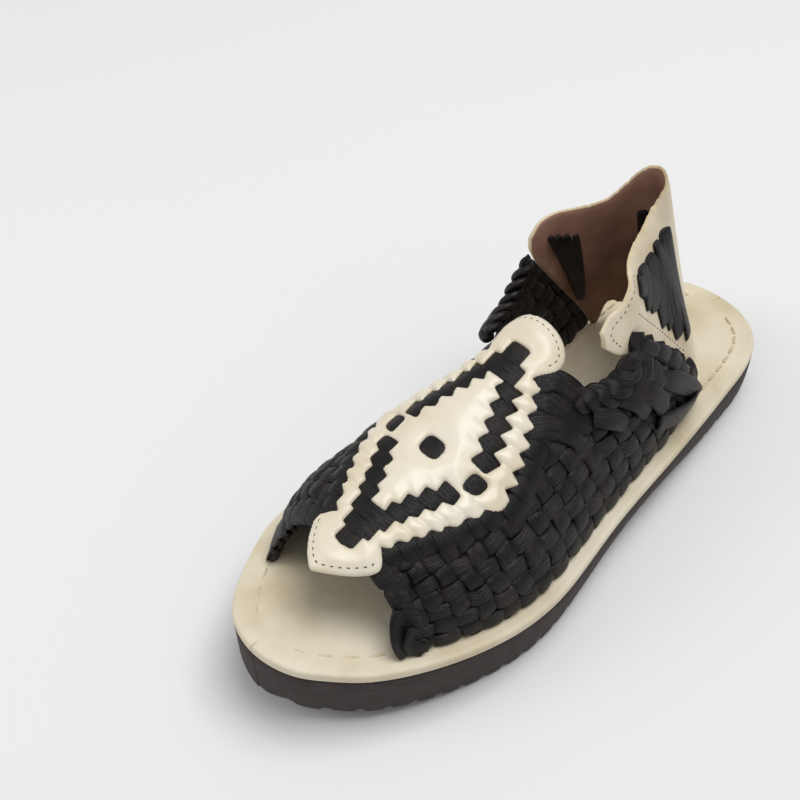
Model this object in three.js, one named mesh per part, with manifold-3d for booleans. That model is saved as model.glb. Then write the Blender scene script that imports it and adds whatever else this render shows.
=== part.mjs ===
// Huarache sandal for the left foot.
// Millimetres. +X runs to the toe, +Y to the outer side of the foot, +Z up.
// The origin is on the floor, under the middle of the sole.
import * as THREE from 'three';
import Module from 'manifold-3d';
import { mergeVertices } from 'three/addons/utils/BufferGeometryUtils.js';

const wasm = await Module();
wasm.setup();

// Driving sizes of the sole
const soleLength = 268.4;
const soleWidth = 101.9;
const outsoleThick = 19.7;
const footbedThick = 4;
const footbedRound = 1.2;
const ribPitch = 8.95;
const ribLand = 5.4;
const ribDepth = 1.5;
const archRise = 4;
const archRear = -0.62;
const archFront = 0.06;
const toeSpring = 12.6;
const toeRise = 9.4;
const toeBreak = 0.224;
const ballEnd = 0.38;
const waistTaper = 1.9;
const outerTaper = 1.9;
const innerTaper = 0.1;
const waistStation = -0.25;
const waistSpan = 1.2;
const endTaper = 0.25;
const endTaperRate = 40;
const shoulderShare = 0.4;
const shoulderTaper = 0.35;

// Driving sizes of the upper
const fit = 0.3;
const facetRoom = 0.2;
const instepHeight = 54.3;
const weaveWall = 2.4;
const cordRise = 1;
const crownEnds = [0.2, 0.8];
const crestFront = 0.697;
const vampReach = 102.3;
const outerFullness = 1.7;
const innerFullness = 2.35;
const frontBow = 4;
const frontBowColumns = 5;
const plateHalfWidth = 32;
const plateThick = 1.8;
const padProud = 0.7;
const toeTabHalf = 17;
const instepTabHalf = 15.8;
const rearBulge = { back: 4.6, out: 1.2, up: 2.7 };
const strapHeight = 90.5;
const strapThick = 2;
const heelCordThick = 1.8;

// Counts of the weave
const vampColumns = 15;
const rearColumns = 8;
const sideRows = 12;
const collarRow = 7;

// Outline of the sole: station as a share of half the length, edges as shares of the width
const outlineTable = [
  { station: -1, inner: -0.062, outer: -0.062 },
  { station: -0.969, inner: -0.245, outer: 0.113 },
  { station: -0.91, inner: -0.37, outer: 0.205 },
  { station: -0.82, inner: -0.427, outer: 0.261 },
  { station: -0.671, inner: -0.436, outer: 0.302 },
  { station: -0.373, inner: -0.39, outer: 0.368 },
  { station: -0.075, inner: -0.381, outer: 0.425 },
  { station: 0.224, inner: -0.46, outer: 0.504 },
  { station: 0.373, inner: -0.482, outer: 0.511 },
  { station: 0.522, inner: -0.486, outer: 0.479 },
  { station: 0.671, inner: -0.458, outer: 0.417 },
  { station: 0.82, inner: -0.356, outer: 0.321 },
  { station: 0.91, inner: -0.271, outer: 0.222 },
  { station: 0.969, inner: -0.186, outer: 0.129 },
  { station: 1, inner: -0.03, outer: -0.03 },
];

// Crest of the vamp: station as a share of half the length, place as a share of the width,
// height as a share of the instep height above the footbed
const crestTable = [
  { station: -0.3, side: -0.132, rise: 1.015 },
  { station: -0.15, side: -0.118, rise: 0.998 },
  { station: -0.037, side: -0.098, rise: 0.951 },
  { station: 0.089, side: -0.078, rise: 0.896 },
  { station: 0.328, side: -0.039, rise: 0.795 },
  { station: 0.566, side: -0.002, rise: 0.685 },
  { station: 0.671, side: 0.01, rise: 0.6 },
  { station: 0.76, side: 0.004, rise: 0.51 },
  { station: 0.85, side: -0.012, rise: 0.42 },
];

// Foot line of the weave: column as a share of all columns, station as a share of half the
// length, inset from the edge of the sole as a share of its width
const footLineTable = [
  { column: 0, outerStation: 0.722, outerInset: 0.08, innerStation: 0.8, innerInset: 0.088 },
  { column: 0.13, outerStation: 0.537, outerInset: 0.07, innerStation: 0.583, innerInset: 0.066 },
  { column: 0.4, outerStation: 0.183, outerInset: 0.062, innerStation: 0.205, innerInset: 0.066 },
  { column: 0.652, outerStation: -0.149, outerInset: 0.062, innerStation: -0.142, innerInset: 0.066 },
  { column: 0.87, outerStation: -0.44, outerInset: 0.075, innerStation: -0.44, innerInset: 0.064 },
  { column: 1, outerStation: -0.607, outerInset: 0.092, innerStation: -0.6, innerInset: 0.06 },
];

// Collar line behind the notch, from the notch to the heel strap, as shares of half the
// length, of the width and of the instep height
const collarTable = [
  { reach: 0, station: -0.098, outer: 0.157, rise: 0.72, inner: -0.33, innerRise: 0.77 },
  { reach: 0.25, station: -0.171, outer: 0.186, rise: 0.7, inner: -0.366, innerRise: 0.745 },
  { reach: 0.5, station: -0.231, outer: 0.196, rise: 0.73, inner: -0.388, innerRise: 0.765 },
  { reach: 0.75, station: -0.283, outer: 0.19, rise: 0.83, inner: -0.402, innerRise: 0.87 },
  { reach: 1, station: -0.335, outer: 0.178, rise: 0.96, inner: -0.41, innerRise: 1.0 },
];

// Heel strap from the inner lobe round the heel to the outer lobe: its lower and upper edge
// as shares of half the length, of the width and of the strap height above the footbed
const strapTable = [
  { lowX: -0.304, lowY: -0.371, lowZ: 0.719, topX: -0.3, topY: -0.368, topZ: 0.791 },
  { lowX: -0.332, lowY: -0.373, lowZ: 0.63, topX: -0.326, topY: -0.363, topZ: 0.851 },
  { lowX: -0.38, lowY: -0.369, lowZ: 0.519, topX: -0.358, topY: -0.356, topZ: 0.867 },
  { lowX: -0.447, lowY: -0.359, lowZ: 0.37, topX: -0.402, topY: -0.348, topZ: 0.862 },
  { lowX: -0.529, lowY: -0.35, lowZ: 0.193, topX: -0.462, topY: -0.334, topZ: 0.834 },
  { lowX: -0.607, lowY: -0.339, lowZ: 0.003, topX: -0.518, topY: -0.317, topZ: 0.813 },
  { lowX: -0.648, lowY: -0.322, lowZ: 0.118, topX: -0.57, topY: -0.291, topZ: 0.828 },
  { lowX: -0.715, lowY: -0.277, lowZ: 0.077, topX: -0.607, topY: -0.255, topZ: 0.895 },
  { lowX: -0.768, lowY: -0.2, lowZ: 0.057, topX: -0.639, topY: -0.206, topZ: 0.982 },
  { lowX: -0.784, lowY: -0.095, lowZ: 0.051, topX: -0.662, topY: -0.15, topZ: 1 },
  { lowX: -0.755, lowY: 0.016, lowZ: 0.057, topX: -0.65, topY: -0.11, topZ: 0.945 },
  { lowX: -0.692, lowY: 0.094, lowZ: 0.077, topX: -0.601, topY: -0.11, topZ: 0.865 },
  { lowX: -0.642, lowY: 0.146, lowZ: 0.118, topX: -0.54, topY: -0.082, topZ: 0.83 },
  { lowX: -0.612, lowY: 0.186, lowZ: 0.003, topX: -0.475, topY: -0.05, topZ: 0.824 },
  { lowX: -0.53, lowY: 0.19, lowZ: 0.118, topX: -0.417, topY: -0.012, topZ: 0.824 },
  { lowX: -0.447, lowY: 0.184, lowZ: 0.257, topX: -0.37, topY: 0.034, topZ: 0.824 },
  { lowX: -0.358, lowY: 0.174, lowZ: 0.401, topX: -0.33, topY: 0.084, topZ: 0.814 },
  { lowX: -0.286, lowY: 0.164, lowZ: 0.514, topX: -0.284, topY: 0.106, topZ: 0.771 },
  { lowX: -0.224, lowY: 0.158, lowZ: 0.596, topX: -0.22, topY: 0.118, topZ: 0.778 },
  { lowX: -0.182, lowY: 0.148, lowZ: 0.663, topX: -0.18, topY: 0.132, topZ: 0.74 },
];

// Chart of the vamp plate from the toe. Start of each station as a share of the reach of the
// vamp; middle and half width of its windows off the middle line and half width of the plate,
// as shares of the widest half width
const plateChart = [
  { column: 0, start: 0, middle: 0, half: 0.119, edge: 0.39 },
  { column: 1, start: 0.058, middle: 0, half: 0.185, edge: 0.4 },
  { column: 2, start: 0.117, middle: 0, half: 0.25, edge: 0.485 },
  { column: 3, start: 0.177, middle: 0.205, half: 0.117, edge: 0.563 },
  { column: 4, start: 0.235, middle: 0.275, half: 0.117, edge: 0.653 },
  { column: 5, start: 0.297, middle: 0.366, half: 0.117, edge: 0.763 },
  { column: 6, start: 0.361, middle: 0.469, half: 0.119, edge: 0.853 },
  { column: 7, start: 0.427, middle: 0.606, half: 0.122, edge: 1 },
  { column: 8, start: 0.523, middle: 0.525, half: 0.119, edge: 0.97 },
  { column: 9, start: 0.6, middle: 0.438, half: 0.119, edge: 0.884 },
  { column: 10, start: 0.665, middle: 0.36, half: 0.119, edge: 0.797 },
  { column: 11, start: 0.726, middle: 0.272, half: 0.119, edge: 0.694 },
  { column: 12, start: 0.79, middle: 0.197, half: 0.119, edge: 0.584 },
  { column: 13, start: 0.848, middle: 0, half: 0.228, edge: 0.475 },
  { column: 14, start: 0.926, middle: 0, half: 0.122, edge: 0.4 },
  { column: 15, start: 1, middle: 0, half: 0.122, edge: 0.4 },
];
const middleWindowStation = 7;
const plateBridge = 0.17;
const toeTabColumns = 2.05;
const instepTabColumns = 1.85;
const tabShares = [0, 0.3, 0.6, 0.82, 0.96];
const plateCells = 8;
const tabCells = 4;
const narrowWindow = 0.15;

// Runs of cord laced through the heel strap. Each corner is a row of the strap and a share of
// its height, and the cords run from the low line to the top line. A run lies on the outer
// side of the strap or behind it.
const heelCordTable = [
  { name: 'outer_side', outside: true, low: [[11.7, 0.14], [14.9, 0.76]], top: [[10.6, 0.82], [14.2, 0.88]] },
  { name: 'outer_inside', outside: true, low: [[3.6, 0.76], [6.8, 0.14]], top: [[4.3, 0.88], [7.9, 0.82]] },
  { name: 'inner_side', outside: false, low: [[14.3, 0.14], [14.5, 0.1]], top: [[14.6, 0.74], [16.6, 0.62]] },
  { name: 'inner_inside', outside: false, low: [[4, 0.1], [4.2, 0.14]], top: [[2, 0.64], [4, 0.74]] },
  { name: 'inner_back', outside: false, low: [[7.9, 0.24], [10.2, 0.24]], top: [[7.6, 0.72], [10.6, 0.72]] },
];
const cordsPerRun = 6;

// Colours and finishes
const finishes = {
  foam: { color: 0x3d3533, roughness: 0.9, metalness: 0 },
  footbedLeather: { color: 0xe2d5bb, roughness: 0.62, metalness: 0 },
  cord: { color: 0x1f1b1c, roughness: 0.7, metalness: 0 },
  plateLeather: { color: 0xe9dfc6, roughness: 0.45, metalness: 0 },
  strapLeather: { color: 0xe4d8c0, roughness: 0.55, metalness: 0 },
};

// The sole ends in a short straight edge, just before its outline would close
const lastAngle = THREE.MathUtils.degToRad(86);
const lastStation = Math.sin(lastAngle);
const halfLength = soleLength / 2;
const stationLength = halfLength / lastStation;
const footbedTop = outsoleThick + fit + footbedThick;
const allColumns = vampColumns + rearColumns;
const weaveHalf = weaveWall / 2;
const plateLow = weaveHalf + fit + facetRoom;
const plateHigh = plateLow + plateThick;

function mix(a, b, share) {
  return a + (b - a) * share;
}

function clamp(value, low, high) {
  return Math.min(Math.max(value, low), high);
}

// Smooth value of one column of a table at a place along another column
function along(table, key, place, value) {
  let k = 0;
  while (k < table.length - 2 && place > table[k + 1][key]) k += 1;
  const row = (n) => table[clamp(n, 0, table.length - 1)];
  const span = row(k + 1)[key] - row(k)[key];
  const t = (place - row(k)[key]) / span;
  const slope = (n) => {
    const run = row(n + 1)[key] - row(n - 1)[key];
    return run === 0 ? 0 : ((row(n + 1)[value] - row(n - 1)[value]) / run) * span;
  };
  if (t < 0) return row(0)[value] + slope(0) * t;
  if (t > 1) return row(k + 1)[value] + slope(k + 1) * (t - 1);
  const t2 = t * t;
  const t3 = t2 * t;
  return (2 * t3 - 3 * t2 + 1) * row(k)[value] + (t3 - 2 * t2 + t) * slope(k)
    + (3 * t2 - 2 * t3) * row(k + 1)[value] + (t3 - t2) * slope(k + 1);
}

// The outline is smooth when read along the angle whose sine is the station
const outlineByAngle = outlineTable.map((row) => ({ angle: Math.asin(row.station), ...row }));

function soleEdge(station, side) {
  const angle = Math.asin(clamp(station, -1, 1));
  return along(outlineByAngle, 'angle', angle, side > 0 ? 'outer' : 'inner') * soleWidth;
}

// Lift of the sole towards the toe, from a station on
function lift(x, from = toeBreak) {
  const start = from * halfLength;
  return x > start ? toeSpring * ((x - start) / (halfLength - start)) ** 2 : 0;
}

// Point of the outline at a station, moved in from the edge
function edgePoint(station, side, inset) {
  const step = 0.002;
  const before = station - step;
  const after = station + step;
  const across = soleEdge(after, side) - soleEdge(before, side);
  const run = new THREE.Vector2((after - before) * stationLength, across).normalize();
  const x = station * stationLength + side * run.y * inset;
  const y = soleEdge(station, side) - side * run.x * inset;
  return new THREE.Vector2(x, y);
}

function geometryFrom(points, triangles) {
  const geometry = new THREE.BufferGeometry();
  const positions = points.flatMap((p) => [p.x, p.y, p.z]);
  geometry.setAttribute('position', new THREE.Float32BufferAttribute(positions, 3));
  geometry.setIndex(triangles.flat());
  return geometry;
}

// Six times the volume that triangles enclose, positive when they face out
function signedVolume(points, triangles) {
  let sum = 0;
  for (const [a, b, c] of triangles) {
    sum += points[a].dot(new THREE.Vector3().crossVectors(points[b], points[c]));
  }
  return sum;
}

function facedOut(points, triangles) {
  if (signedVolume(points, triangles) >= 0) return triangles;
  return triangles.map(([a, b, c]) => [a, c, b]);
}

// Closed solid through rings of equal count, with flat ends
function loft(rings) {
  const points = rings.flat();
  const count = rings[0].length;
  const triangles = [];
  for (let r = 0; r < rings.length - 1; r += 1) {
    for (let k = 0; k < count; k += 1) {
      const a = r * count + k;
      const b = r * count + ((k + 1) % count);
      triangles.push([a, b, b + count], [a, b + count, a + count]);
    }
  }
  const last = (rings.length - 1) * count;
  for (let k = 1; k < count - 1; k += 1) {
    triangles.push([0, k + 1, k], [last, last + k, last + k + 1]);
  }
  return geometryFrom(points, facedOut(points, triangles));
}

// Stations close together at both ends, where the outline turns
function roundedStations(count) {
  const stations = [];
  for (let k = 0; k <= count; k += 1) stations.push(Math.sin(mix(-lastAngle, lastAngle, k / count)));
  return stations;
}

// Underside of the outsole: flat at heel and ball, raised at the arch and the toe
function undersideAt(x) {
  const share = clamp((x / halfLength - archRear) / (archFront - archRear), 0, 1);
  return lift(x, ballEnd) * (toeRise / toeSpring) + archRise * Math.sin(Math.PI * share) ** 2;
}

// Places along the outsole and whether each one is the floor of a groove between ribs
function ribPlaces() {
  const ribs = Math.floor(halfLength / ribPitch);
  const ends = (ribs - 1) * ribPitch;
  const places = new Map();
  for (const station of roundedStations(36)) {
    const x = station * stationLength;
    if (Math.abs(x) > ends) places.set(x, false);
  }
  for (let k = 1 - ribs; k < ribs - 1; k += 1) {
    places.set(k * ribPitch, false);
    places.set(k * ribPitch + ribLand, false);
    places.set(k * ribPitch + (ribLand + ribPitch) / 2, true);
  }
  return places;
}

// How much narrower the outsole is at the floor than at the top, on one side
function taperAt(station, side) {
  const waist = Math.max(0, Math.cos((Math.PI * (station - waistStation)) / waistSpan));
  const tight = Math.min(1, endTaper + (1 - Math.abs(station)) * endTaperRate);
  return ((side > 0 ? outerTaper : innerTaper) + waistTaper * waist) * tight;
}

function outsole() {
  const places = ribPlaces();
  const stations = [...places.keys()].sort((a, b) => a - b);
  const rings = stations.map((x) => {
    const station = x / stationLength;
    const under = undersideAt(x) + (places.get(x) ? ribDepth : 0);
    const shoulder = undersideAt(x) + shoulderShare * outsoleThick;
    const place = (side, share, z) => {
      const p = edgePoint(station, side, share * taperAt(station, side));
      return new THREE.Vector3(p.x, p.y, z);
    };
    return [
      place(-1, 0, lift(x) + outsoleThick),
      place(-1, shoulderTaper, shoulder),
      place(-1, 1, under),
      place(1, 1, under),
      place(1, shoulderTaper, shoulder),
      place(1, 0, lift(x) + outsoleThick),
    ];
  });
  return loft(rings);
}

function footbed() {
  const rings = roundedStations(44).map((station) => {
    const low = lift(station * stationLength) + outsoleThick + fit;
    const high = low + footbedThick;
    const place = (side, inset, z) => {
      const p = edgePoint(station, side, inset);
      return new THREE.Vector3(p.x, p.y, z);
    };
    return [
      place(-1, 0, low),
      place(-1, 0, high - footbedRound),
      place(-1, footbedRound, high),
      place(1, footbedRound, high),
      place(1, 0, high - footbedRound),
      place(1, 0, low),
    ];
  });
  return loft(rings);
}

// Foot of the weave on the footbed
function footPoint(column, side) {
  const share = column / allColumns;
  const station = along(footLineTable, 'column', share, side > 0 ? 'outerStation' : 'innerStation');
  const inset = along(footLineTable, 'column', share, side > 0 ? 'outerInset' : 'innerInset');
  const p = edgePoint(station, side, inset * soleWidth);
  return new THREE.Vector3(p.x, p.y, footbedTop + fit + lift(p.x));
}

// Crest of the vamp over a column
function crestPoint(column) {
  const x = crestFront * halfLength - along(plateChart, 'column', column, 'start') * vampReach;
  const station = x / halfLength;
  return new THREE.Vector3(
    x,
    along(crestTable, 'station', station, 'side') * soleWidth,
    footbedTop + along(crestTable, 'station', station, 'rise') * instepHeight + lift(x),
  );
}

// Half hoop of the vamp from crest to foot, fuller on the inner side of the foot
const hoopSteps = 28;
const hoopCache = new Map();
function halfHoop(column, side) {
  const key = `${column.toFixed(4)} ${side}`;
  if (hoopCache.has(key)) return hoopCache.get(key);
  const crest = crestPoint(column);
  const foot = footPoint(column, side);
  const fullness = side > 0 ? outerFullness : innerFullness;
  const bow = frontBow * Math.max(0, 1 - column / frontBowColumns);
  const points = [];
  const runs = [0];
  for (let k = 0; k <= hoopSteps; k += 1) {
    const angle = (Math.PI / 2) * (k / hoopSteps);
    const out = Math.sin(angle) ** (2 / fullness);
    const up = Math.cos(angle) ** (2 / fullness);
    const x = mix(crest.x, foot.x, 1 - up) - bow * Math.sin(2 * angle);
    points.push(new THREE.Vector3(x, mix(crest.y, foot.y, out), mix(foot.z, crest.z, up)));
    if (k > 0) runs.push(runs[k - 1] + points[k].distanceTo(points[k - 1]));
  }
  const hoop = { points, runs, length: runs[hoopSteps] };
  hoopCache.set(key, hoop);
  return hoop;
}

function hoopPoint(column, side, run) {
  const { points, runs } = halfHoop(column, side);
  let k = 0;
  while (k < hoopSteps - 1 && run > runs[k + 1]) k += 1;
  return points[k].clone().lerp(points[k + 1], (run - runs[k]) / (runs[k + 1] - runs[k]));
}

// Middle of the vamp wall at a distance from the crest line, outer side positive
function vampPoint(column, offMiddle) {
  return hoopPoint(column, offMiddle >= 0 ? 1 : -1, Math.abs(offMiddle));
}

function collarPoint(reach, side) {
  const rise = along(collarTable, 'reach', reach, side > 0 ? 'rise' : 'innerRise');
  return new THREE.Vector3(
    along(collarTable, 'reach', reach, 'station') * halfLength,
    along(collarTable, 'reach', reach, side > 0 ? 'outer' : 'inner') * soleWidth,
    footbedTop + rise * instepHeight,
  );
}

// Middle of the weave wall. Girth runs from -1 at the inner foot, over 0 at the crest,
// to 1 at the outer foot. Behind the notch only the rows under the collar exist.
function weavePoint(column, girth) {
  const side = girth >= 0 ? 1 : -1;
  const share = 1 - Math.abs(girth);
  if (column <= vampColumns) {
    const hoop = halfHoop(column, side);
    return hoopPoint(column, side, (1 - share) * hoop.length);
  }
  const reach = (column - vampColumns) / rearColumns;
  const up = (share * sideRows) / collarRow;
  const notchLength = halfHoop(vampColumns, side).length;
  const notchFoot = footPoint(vampColumns, side);
  const notchTop = hoopPoint(vampColumns, side, (1 - collarRow / sideRows) * notchLength);
  const notch = hoopPoint(vampColumns, side, (1 - share) * notchLength);
  const bow = notch.sub(notchFoot.clone().lerp(notchTop, up));
  const meet = notchTop.sub(collarPoint(0, side)).multiplyScalar((1 - reach) ** 2);
  const join = collarPoint(reach, side).add(meet);
  const bulge = 4 * up * (1 - up) * reach;
  const place = footPoint(column, side).lerp(join, up).addScaledVector(bow, 1 - reach);
  const outward = new THREE.Vector3(-rearBulge.back, side * rearBulge.out, rearBulge.up);
  return place.addScaledVector(outward, bulge);
}

// Point of the heel strap: row along the table, share from its lower to its upper edge
function strapPoint(row, share) {
  const rows = strapTable.map((entry, index) => ({ index, ...entry }));
  const value = (name) => along(rows, 'index', row, name);
  const size = new THREE.Vector3(halfLength, soleWidth, strapHeight);
  const low = new THREE.Vector3(value('lowX'), value('lowY'), value('lowZ')).multiply(size);
  const top = new THREE.Vector3(value('topX'), value('topY'), value('topZ')).multiply(size);
  const place = low.lerp(top, share);
  place.z += footbedTop;
  return place;
}

// Solid sheet on a grid of a surface, with a lower and an upper face, missing cells left
// open, and cells crowned along one of the two directions like a strip that lies on top
function sheet({
  us, vs, inside, surface, low, high,
  crown = () => null,
  place = (i, j) => [us[i], vs[j]],
  seat = (p) => p,
}) {
  const points = [];
  const triangles = [];
  const seen = new Map();
  const step = 1e-3;
  const offset = (u, v, height) => {
    const p = surface(u, v);
    const du = surface(u + step, v).sub(surface(u - step, v));
    const dv = surface(u, v + step).sub(surface(u, v - step));
    return seat(p.addScaledVector(dv.cross(du).normalize(), height));
  };
  const corner = (i, j, upper) => {
    const key = `${i} ${j} ${upper}`;
    if (!seen.has(key)) {
      const [u, v] = place(i, j);
      points.push(offset(u, v, upper ? high : low));
      seen.set(key, points.length - 1);
    }
    return seen.get(key);
  };
  const has = (i, j) => i >= 0 && j >= 0 && i < us.length - 1 && j < vs.length - 1 && inside(i, j);
  for (let i = 0; i < us.length - 1; i += 1) {
    for (let j = 0; j < vs.length - 1; j += 1) {
      if (!has(i, j)) continue;
      const loop = [[i, j], [i + 1, j], [i + 1, j + 1], [i, j + 1]];
      const [a, b, c, d] = loop.map(([m, n]) => corner(m, n, true));
      const [e, f, g, h] = loop.map(([m, n]) => corner(m, n, false));
      const rise = crown(i, j);
      if (rise) {
        const [near, far] = crownEnds;
        const ends = rise.alongU ? [[near, 0.5], [far, 0.5]] : [[0.5, near], [0.5, far]];
        const [first, second] = ends.map(([s, t]) => {
          const [u0, v0] = place(i, j);
          const [u1, v1] = place(i + 1, j + 1);
          points.push(offset(mix(u0, u1, s), mix(v0, v1, t), high + rise.height));
          return points.length - 1;
        });
        if (rise.alongU) {
          triangles.push([a, b, second], [a, second, first], [b, c, second]);
          triangles.push([c, d, first], [c, first, second], [d, a, first]);
        } else {
          triangles.push([a, b, first], [b, c, second], [b, second, first]);
          triangles.push([c, d, second], [d, a, first], [d, first, second]);
        }
      } else {
        triangles.push([a, b, c], [a, c, d]);
      }
      triangles.push([e, g, f], [e, h, g]);
      if (!has(i, j - 1)) triangles.push([a, e, f], [a, f, b]);
      if (!has(i + 1, j)) triangles.push([b, f, g], [b, g, c]);
      if (!has(i, j + 1)) triangles.push([c, g, h], [c, h, d]);
      if (!has(i - 1, j)) triangles.push([d, h, e], [d, e, a]);
    }
  }
  return geometryFrom(points, facedOut(points, triangles));
}

// Keeps a point clear of the footbed
function onFootbed(p) {
  p.z = Math.max(p.z, footbedTop + fit + lift(p.x));
  return p;
}

function steps(from, to, count) {
  return Array.from({ length: count + 1 }, (_, k) => mix(from, to, k / count));
}

// Half width of the plate at a column, for the cords that it hides
function plateEdgeAt(column) {
  const row = plateChart[clamp(Math.floor(column), 0, vampColumns - 1)];
  return row.edge * plateHalfWidth;
}

function weaveSheet() {
  const us = steps(0, allColumns, allColumns);
  const vs = steps(-1, 1, 2 * sideRows);
  const inside = (i, j) => i < vampColumns || j < collarRow || j >= 2 * sideRows - collarRow;
  const crown = (i, j) => {
    const girth = (vs[j] + vs[j + 1]) / 2;
    const side = girth >= 0 ? 1 : -1;
    if (i < vampColumns) {
      const off = (Math.abs(girth) - 0.5 / sideRows) * halfHoop(i + 0.5, side).length;
      if (off < plateEdgeAt(i)) return null;
    }
    return { alongU: (i + j) % 2 === 0, height: cordRise };
  };
  const surface = weavePoint;
  return sheet({ us, vs, inside, crown, surface, low: -weaveHalf, high: weaveHalf, seat: onFootbed });
}

// Windows of one station as ranges off the middle line
function windowsAt(station) {
  const row = plateChart[station];
  const middle = row.middle * plateHalfWidth;
  const half = row.half * plateHalfWidth;
  const ranges = [[middle - half, middle + half]];
  if (middle > 0) ranges.push([-middle - half, half - middle]);
  if (station === middleWindowStation) ranges.push([-half, half]);
  return ranges;
}

// Cords that show in the windows of the plate, as pads that grow out of the weave
function windowPads() {
  const pads = [];
  plateChart.slice(0, vampColumns).forEach((row, station) => {
    for (const [from, to] of windowsAt(station)) {
      const gap = (fit + facetRoom) / (vampReach * (plateChart[station + 1].start - row.start));
      const us = [station + plateBridge / 2 + gap, station + 1 - plateBridge / 2 - gap];
      const vs = steps(from + fit + facetRoom, to - fit - facetRoom, 2);
      pads.push(sheet({ us, vs, inside: () => true, surface: vampPoint, low: 0, high: plateHigh + padProud }));
    }
  });
  return pads;
}

function manifoldFrom(geometry) {
  const merged = mergeVertices(geometry, 1e-5);
  const numProp = 3;
  const vertProperties = new Float32Array(merged.attributes.position.array);
  const triVerts = new Uint32Array(merged.index.array);
  return new wasm.Manifold(new wasm.Mesh({ numProp, vertProperties, triVerts }));
}

function geometryOf(solid) {
  const mesh = solid.getMesh();
  const geometry = new THREE.BufferGeometry();
  geometry.setAttribute('position', new THREE.BufferAttribute(new Float32Array(mesh.vertProperties), 3));
  geometry.setIndex(new THREE.BufferAttribute(new Uint32Array(mesh.triVerts), 1));
  return geometry;
}

function upperWeave() {
  let solid = manifoldFrom(weaveSheet());
  for (const pad of windowPads()) solid = solid.add(manifoldFrom(pad));
  return geometryOf(solid);
}

// Grid lines of the plate. Each station has two lines across, with a narrow bridge of
// leather between stations. Lines along the plate bend so that window edges lie on them.
function plateGrid() {
  const lines = [];
  const tab = (from, reach, half) => {
    for (const share of tabShares) {
      lines.push({ column: from + reach * share, station: -1, half: half * Math.sqrt(1 - share * share) });
    }
  };
  tab(0, -toeTabColumns, toeTabHalf);
  lines.reverse();
  for (let k = 0; k < vampColumns; k += 1) {
    lines.push({ column: k + plateBridge / 2, station: k, start: true });
    lines.push({ column: k + 1 - plateBridge / 2, station: k });
  }
  tab(vampColumns, instepTabColumns, instepTabHalf);
  return lines;
}

// Cells of the plate on either side of the middle line that a line or a window spans
const cellsIn = (share) => Math.round(share * plateCells);
const edgeCell = (line) => (line.station < 0 ? tabCells : cellsIn(plateChart[line.station].edge));
const firstCell = (row) => (row.middle === 0 ? 0 : cellsIn(row.middle) - 1);
const lastCell = (row) => {
  if (row.middle !== 0) return firstCell(row) + 2;
  return row.half > narrowWindow ? 2 : 1;
};

// Distance off the middle line of a grid line of the plate, counted in cells
function offMiddle(line, cell) {
  const row = plateChart[line.station];
  const knots = [[0, 0]];
  if (row && line.station === middleWindowStation) knots.push([1, row.half]);
  if (row && row.middle !== 0) knots.push([firstCell(row), row.middle - row.half]);
  if (row) knots.push([lastCell(row), row.middle + row.half]);
  const edge = row ? row.edge : line.half / plateHalfWidth;
  knots.push([edgeCell(line), edge], [edgeCell(line) + plateCells, edge + 1]);
  const n = Math.abs(cell);
  let k = 0;
  while (k < knots.length - 2 && n > knots[k + 1][0]) k += 1;
  const share = (n - knots[k][0]) / (knots[k + 1][0] - knots[k][0]);
  return Math.sign(cell) * mix(knots[k][1], knots[k + 1][1], share) * plateHalfWidth;
}

function vampPlate() {
  const lines = plateGrid();
  const us = lines.map((line) => line.column);
  const vs = steps(-plateCells, plateCells, 2 * plateCells);
  const inside = (i, j) => {
    const cell = j < plateCells ? plateCells - 1 - j : j - plateCells;
    if (cell >= Math.min(edgeCell(lines[i]), edgeCell(lines[i + 1]))) return false;
    if (!lines[i].start) return true;
    const row = plateChart[lines[i].station];
    if (lines[i].station === middleWindowStation && cell < 1) return false;
    return cell < firstCell(row) || cell >= lastCell(row);
  };
  const place = (i, j) => [us[i], offMiddle(lines[i], vs[j])];
  return sheet({ us, vs, inside, place, surface: vampPoint, low: plateLow, high: plateHigh });
}

function heelStrap() {
  const us = steps(0, strapTable.length - 1, 2 * (strapTable.length - 1));
  const vs = steps(0, 1, 6);
  const half = strapThick / 2;
  return sheet({ us, vs, inside: () => true, surface: strapPoint, low: -half, high: half, seat: onFootbed });
}

function heelCords(run) {
  const corner = (pair, u, n) => mix(pair[0][n], pair[1][n], u);
  const surface = (u, v) => {
    const row = mix(corner(run.low, u, 0), corner(run.top, u, 0), v);
    return strapPoint(row, mix(corner(run.low, u, 1), corner(run.top, u, 1), v));
  };
  const near = strapThick / 2 + fit + 2 * facetRoom;
  const far = near + heelCordThick;
  const low = run.outside ? near : -far;
  const high = run.outside ? far : -near;
  const us = steps(0, 1, cordsPerRun);
  const vs = steps(0, 1, cordsPerRun);
  return sheet({ us, vs, inside: () => true, surface, low, high });
}

// The sole is drawn about the line from heel to toe, and stands centred across its width
function acrossMiddle() {
  const stations = roundedStations(200);
  const outer = Math.max(...stations.map((station) => soleEdge(station, 1)));
  const inner = Math.min(...stations.map((station) => soleEdge(station, -1)));
  return (outer + inner) / 2;
}

const sandal = new THREE.Group();
sandal.position.y = -acrossMiddle();

function addPiece(name, geometry, finish) {
  const piece = new THREE.Mesh(geometry, new THREE.MeshStandardMaterial(finish));
  piece.name = name;
  sandal.add(piece);
}

addPiece('outsole', outsole(), finishes.foam);
addPiece('footbed', footbed(), finishes.footbedLeather);
addPiece('upper_weave', upperWeave(), finishes.cord);
addPiece('vamp_plate', vampPlate(), finishes.plateLeather);
addPiece('heel_strap', heelStrap(), finishes.strapLeather);
for (const run of heelCordTable) addPiece(`heel_cords_${run.name}`, heelCords(run), finishes.cord);

export default sandal;
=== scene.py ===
import bpy
import math
import numpy as np
from mathutils import Matrix
from mathutils.geometry import delaunay_2d_cdt


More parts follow.
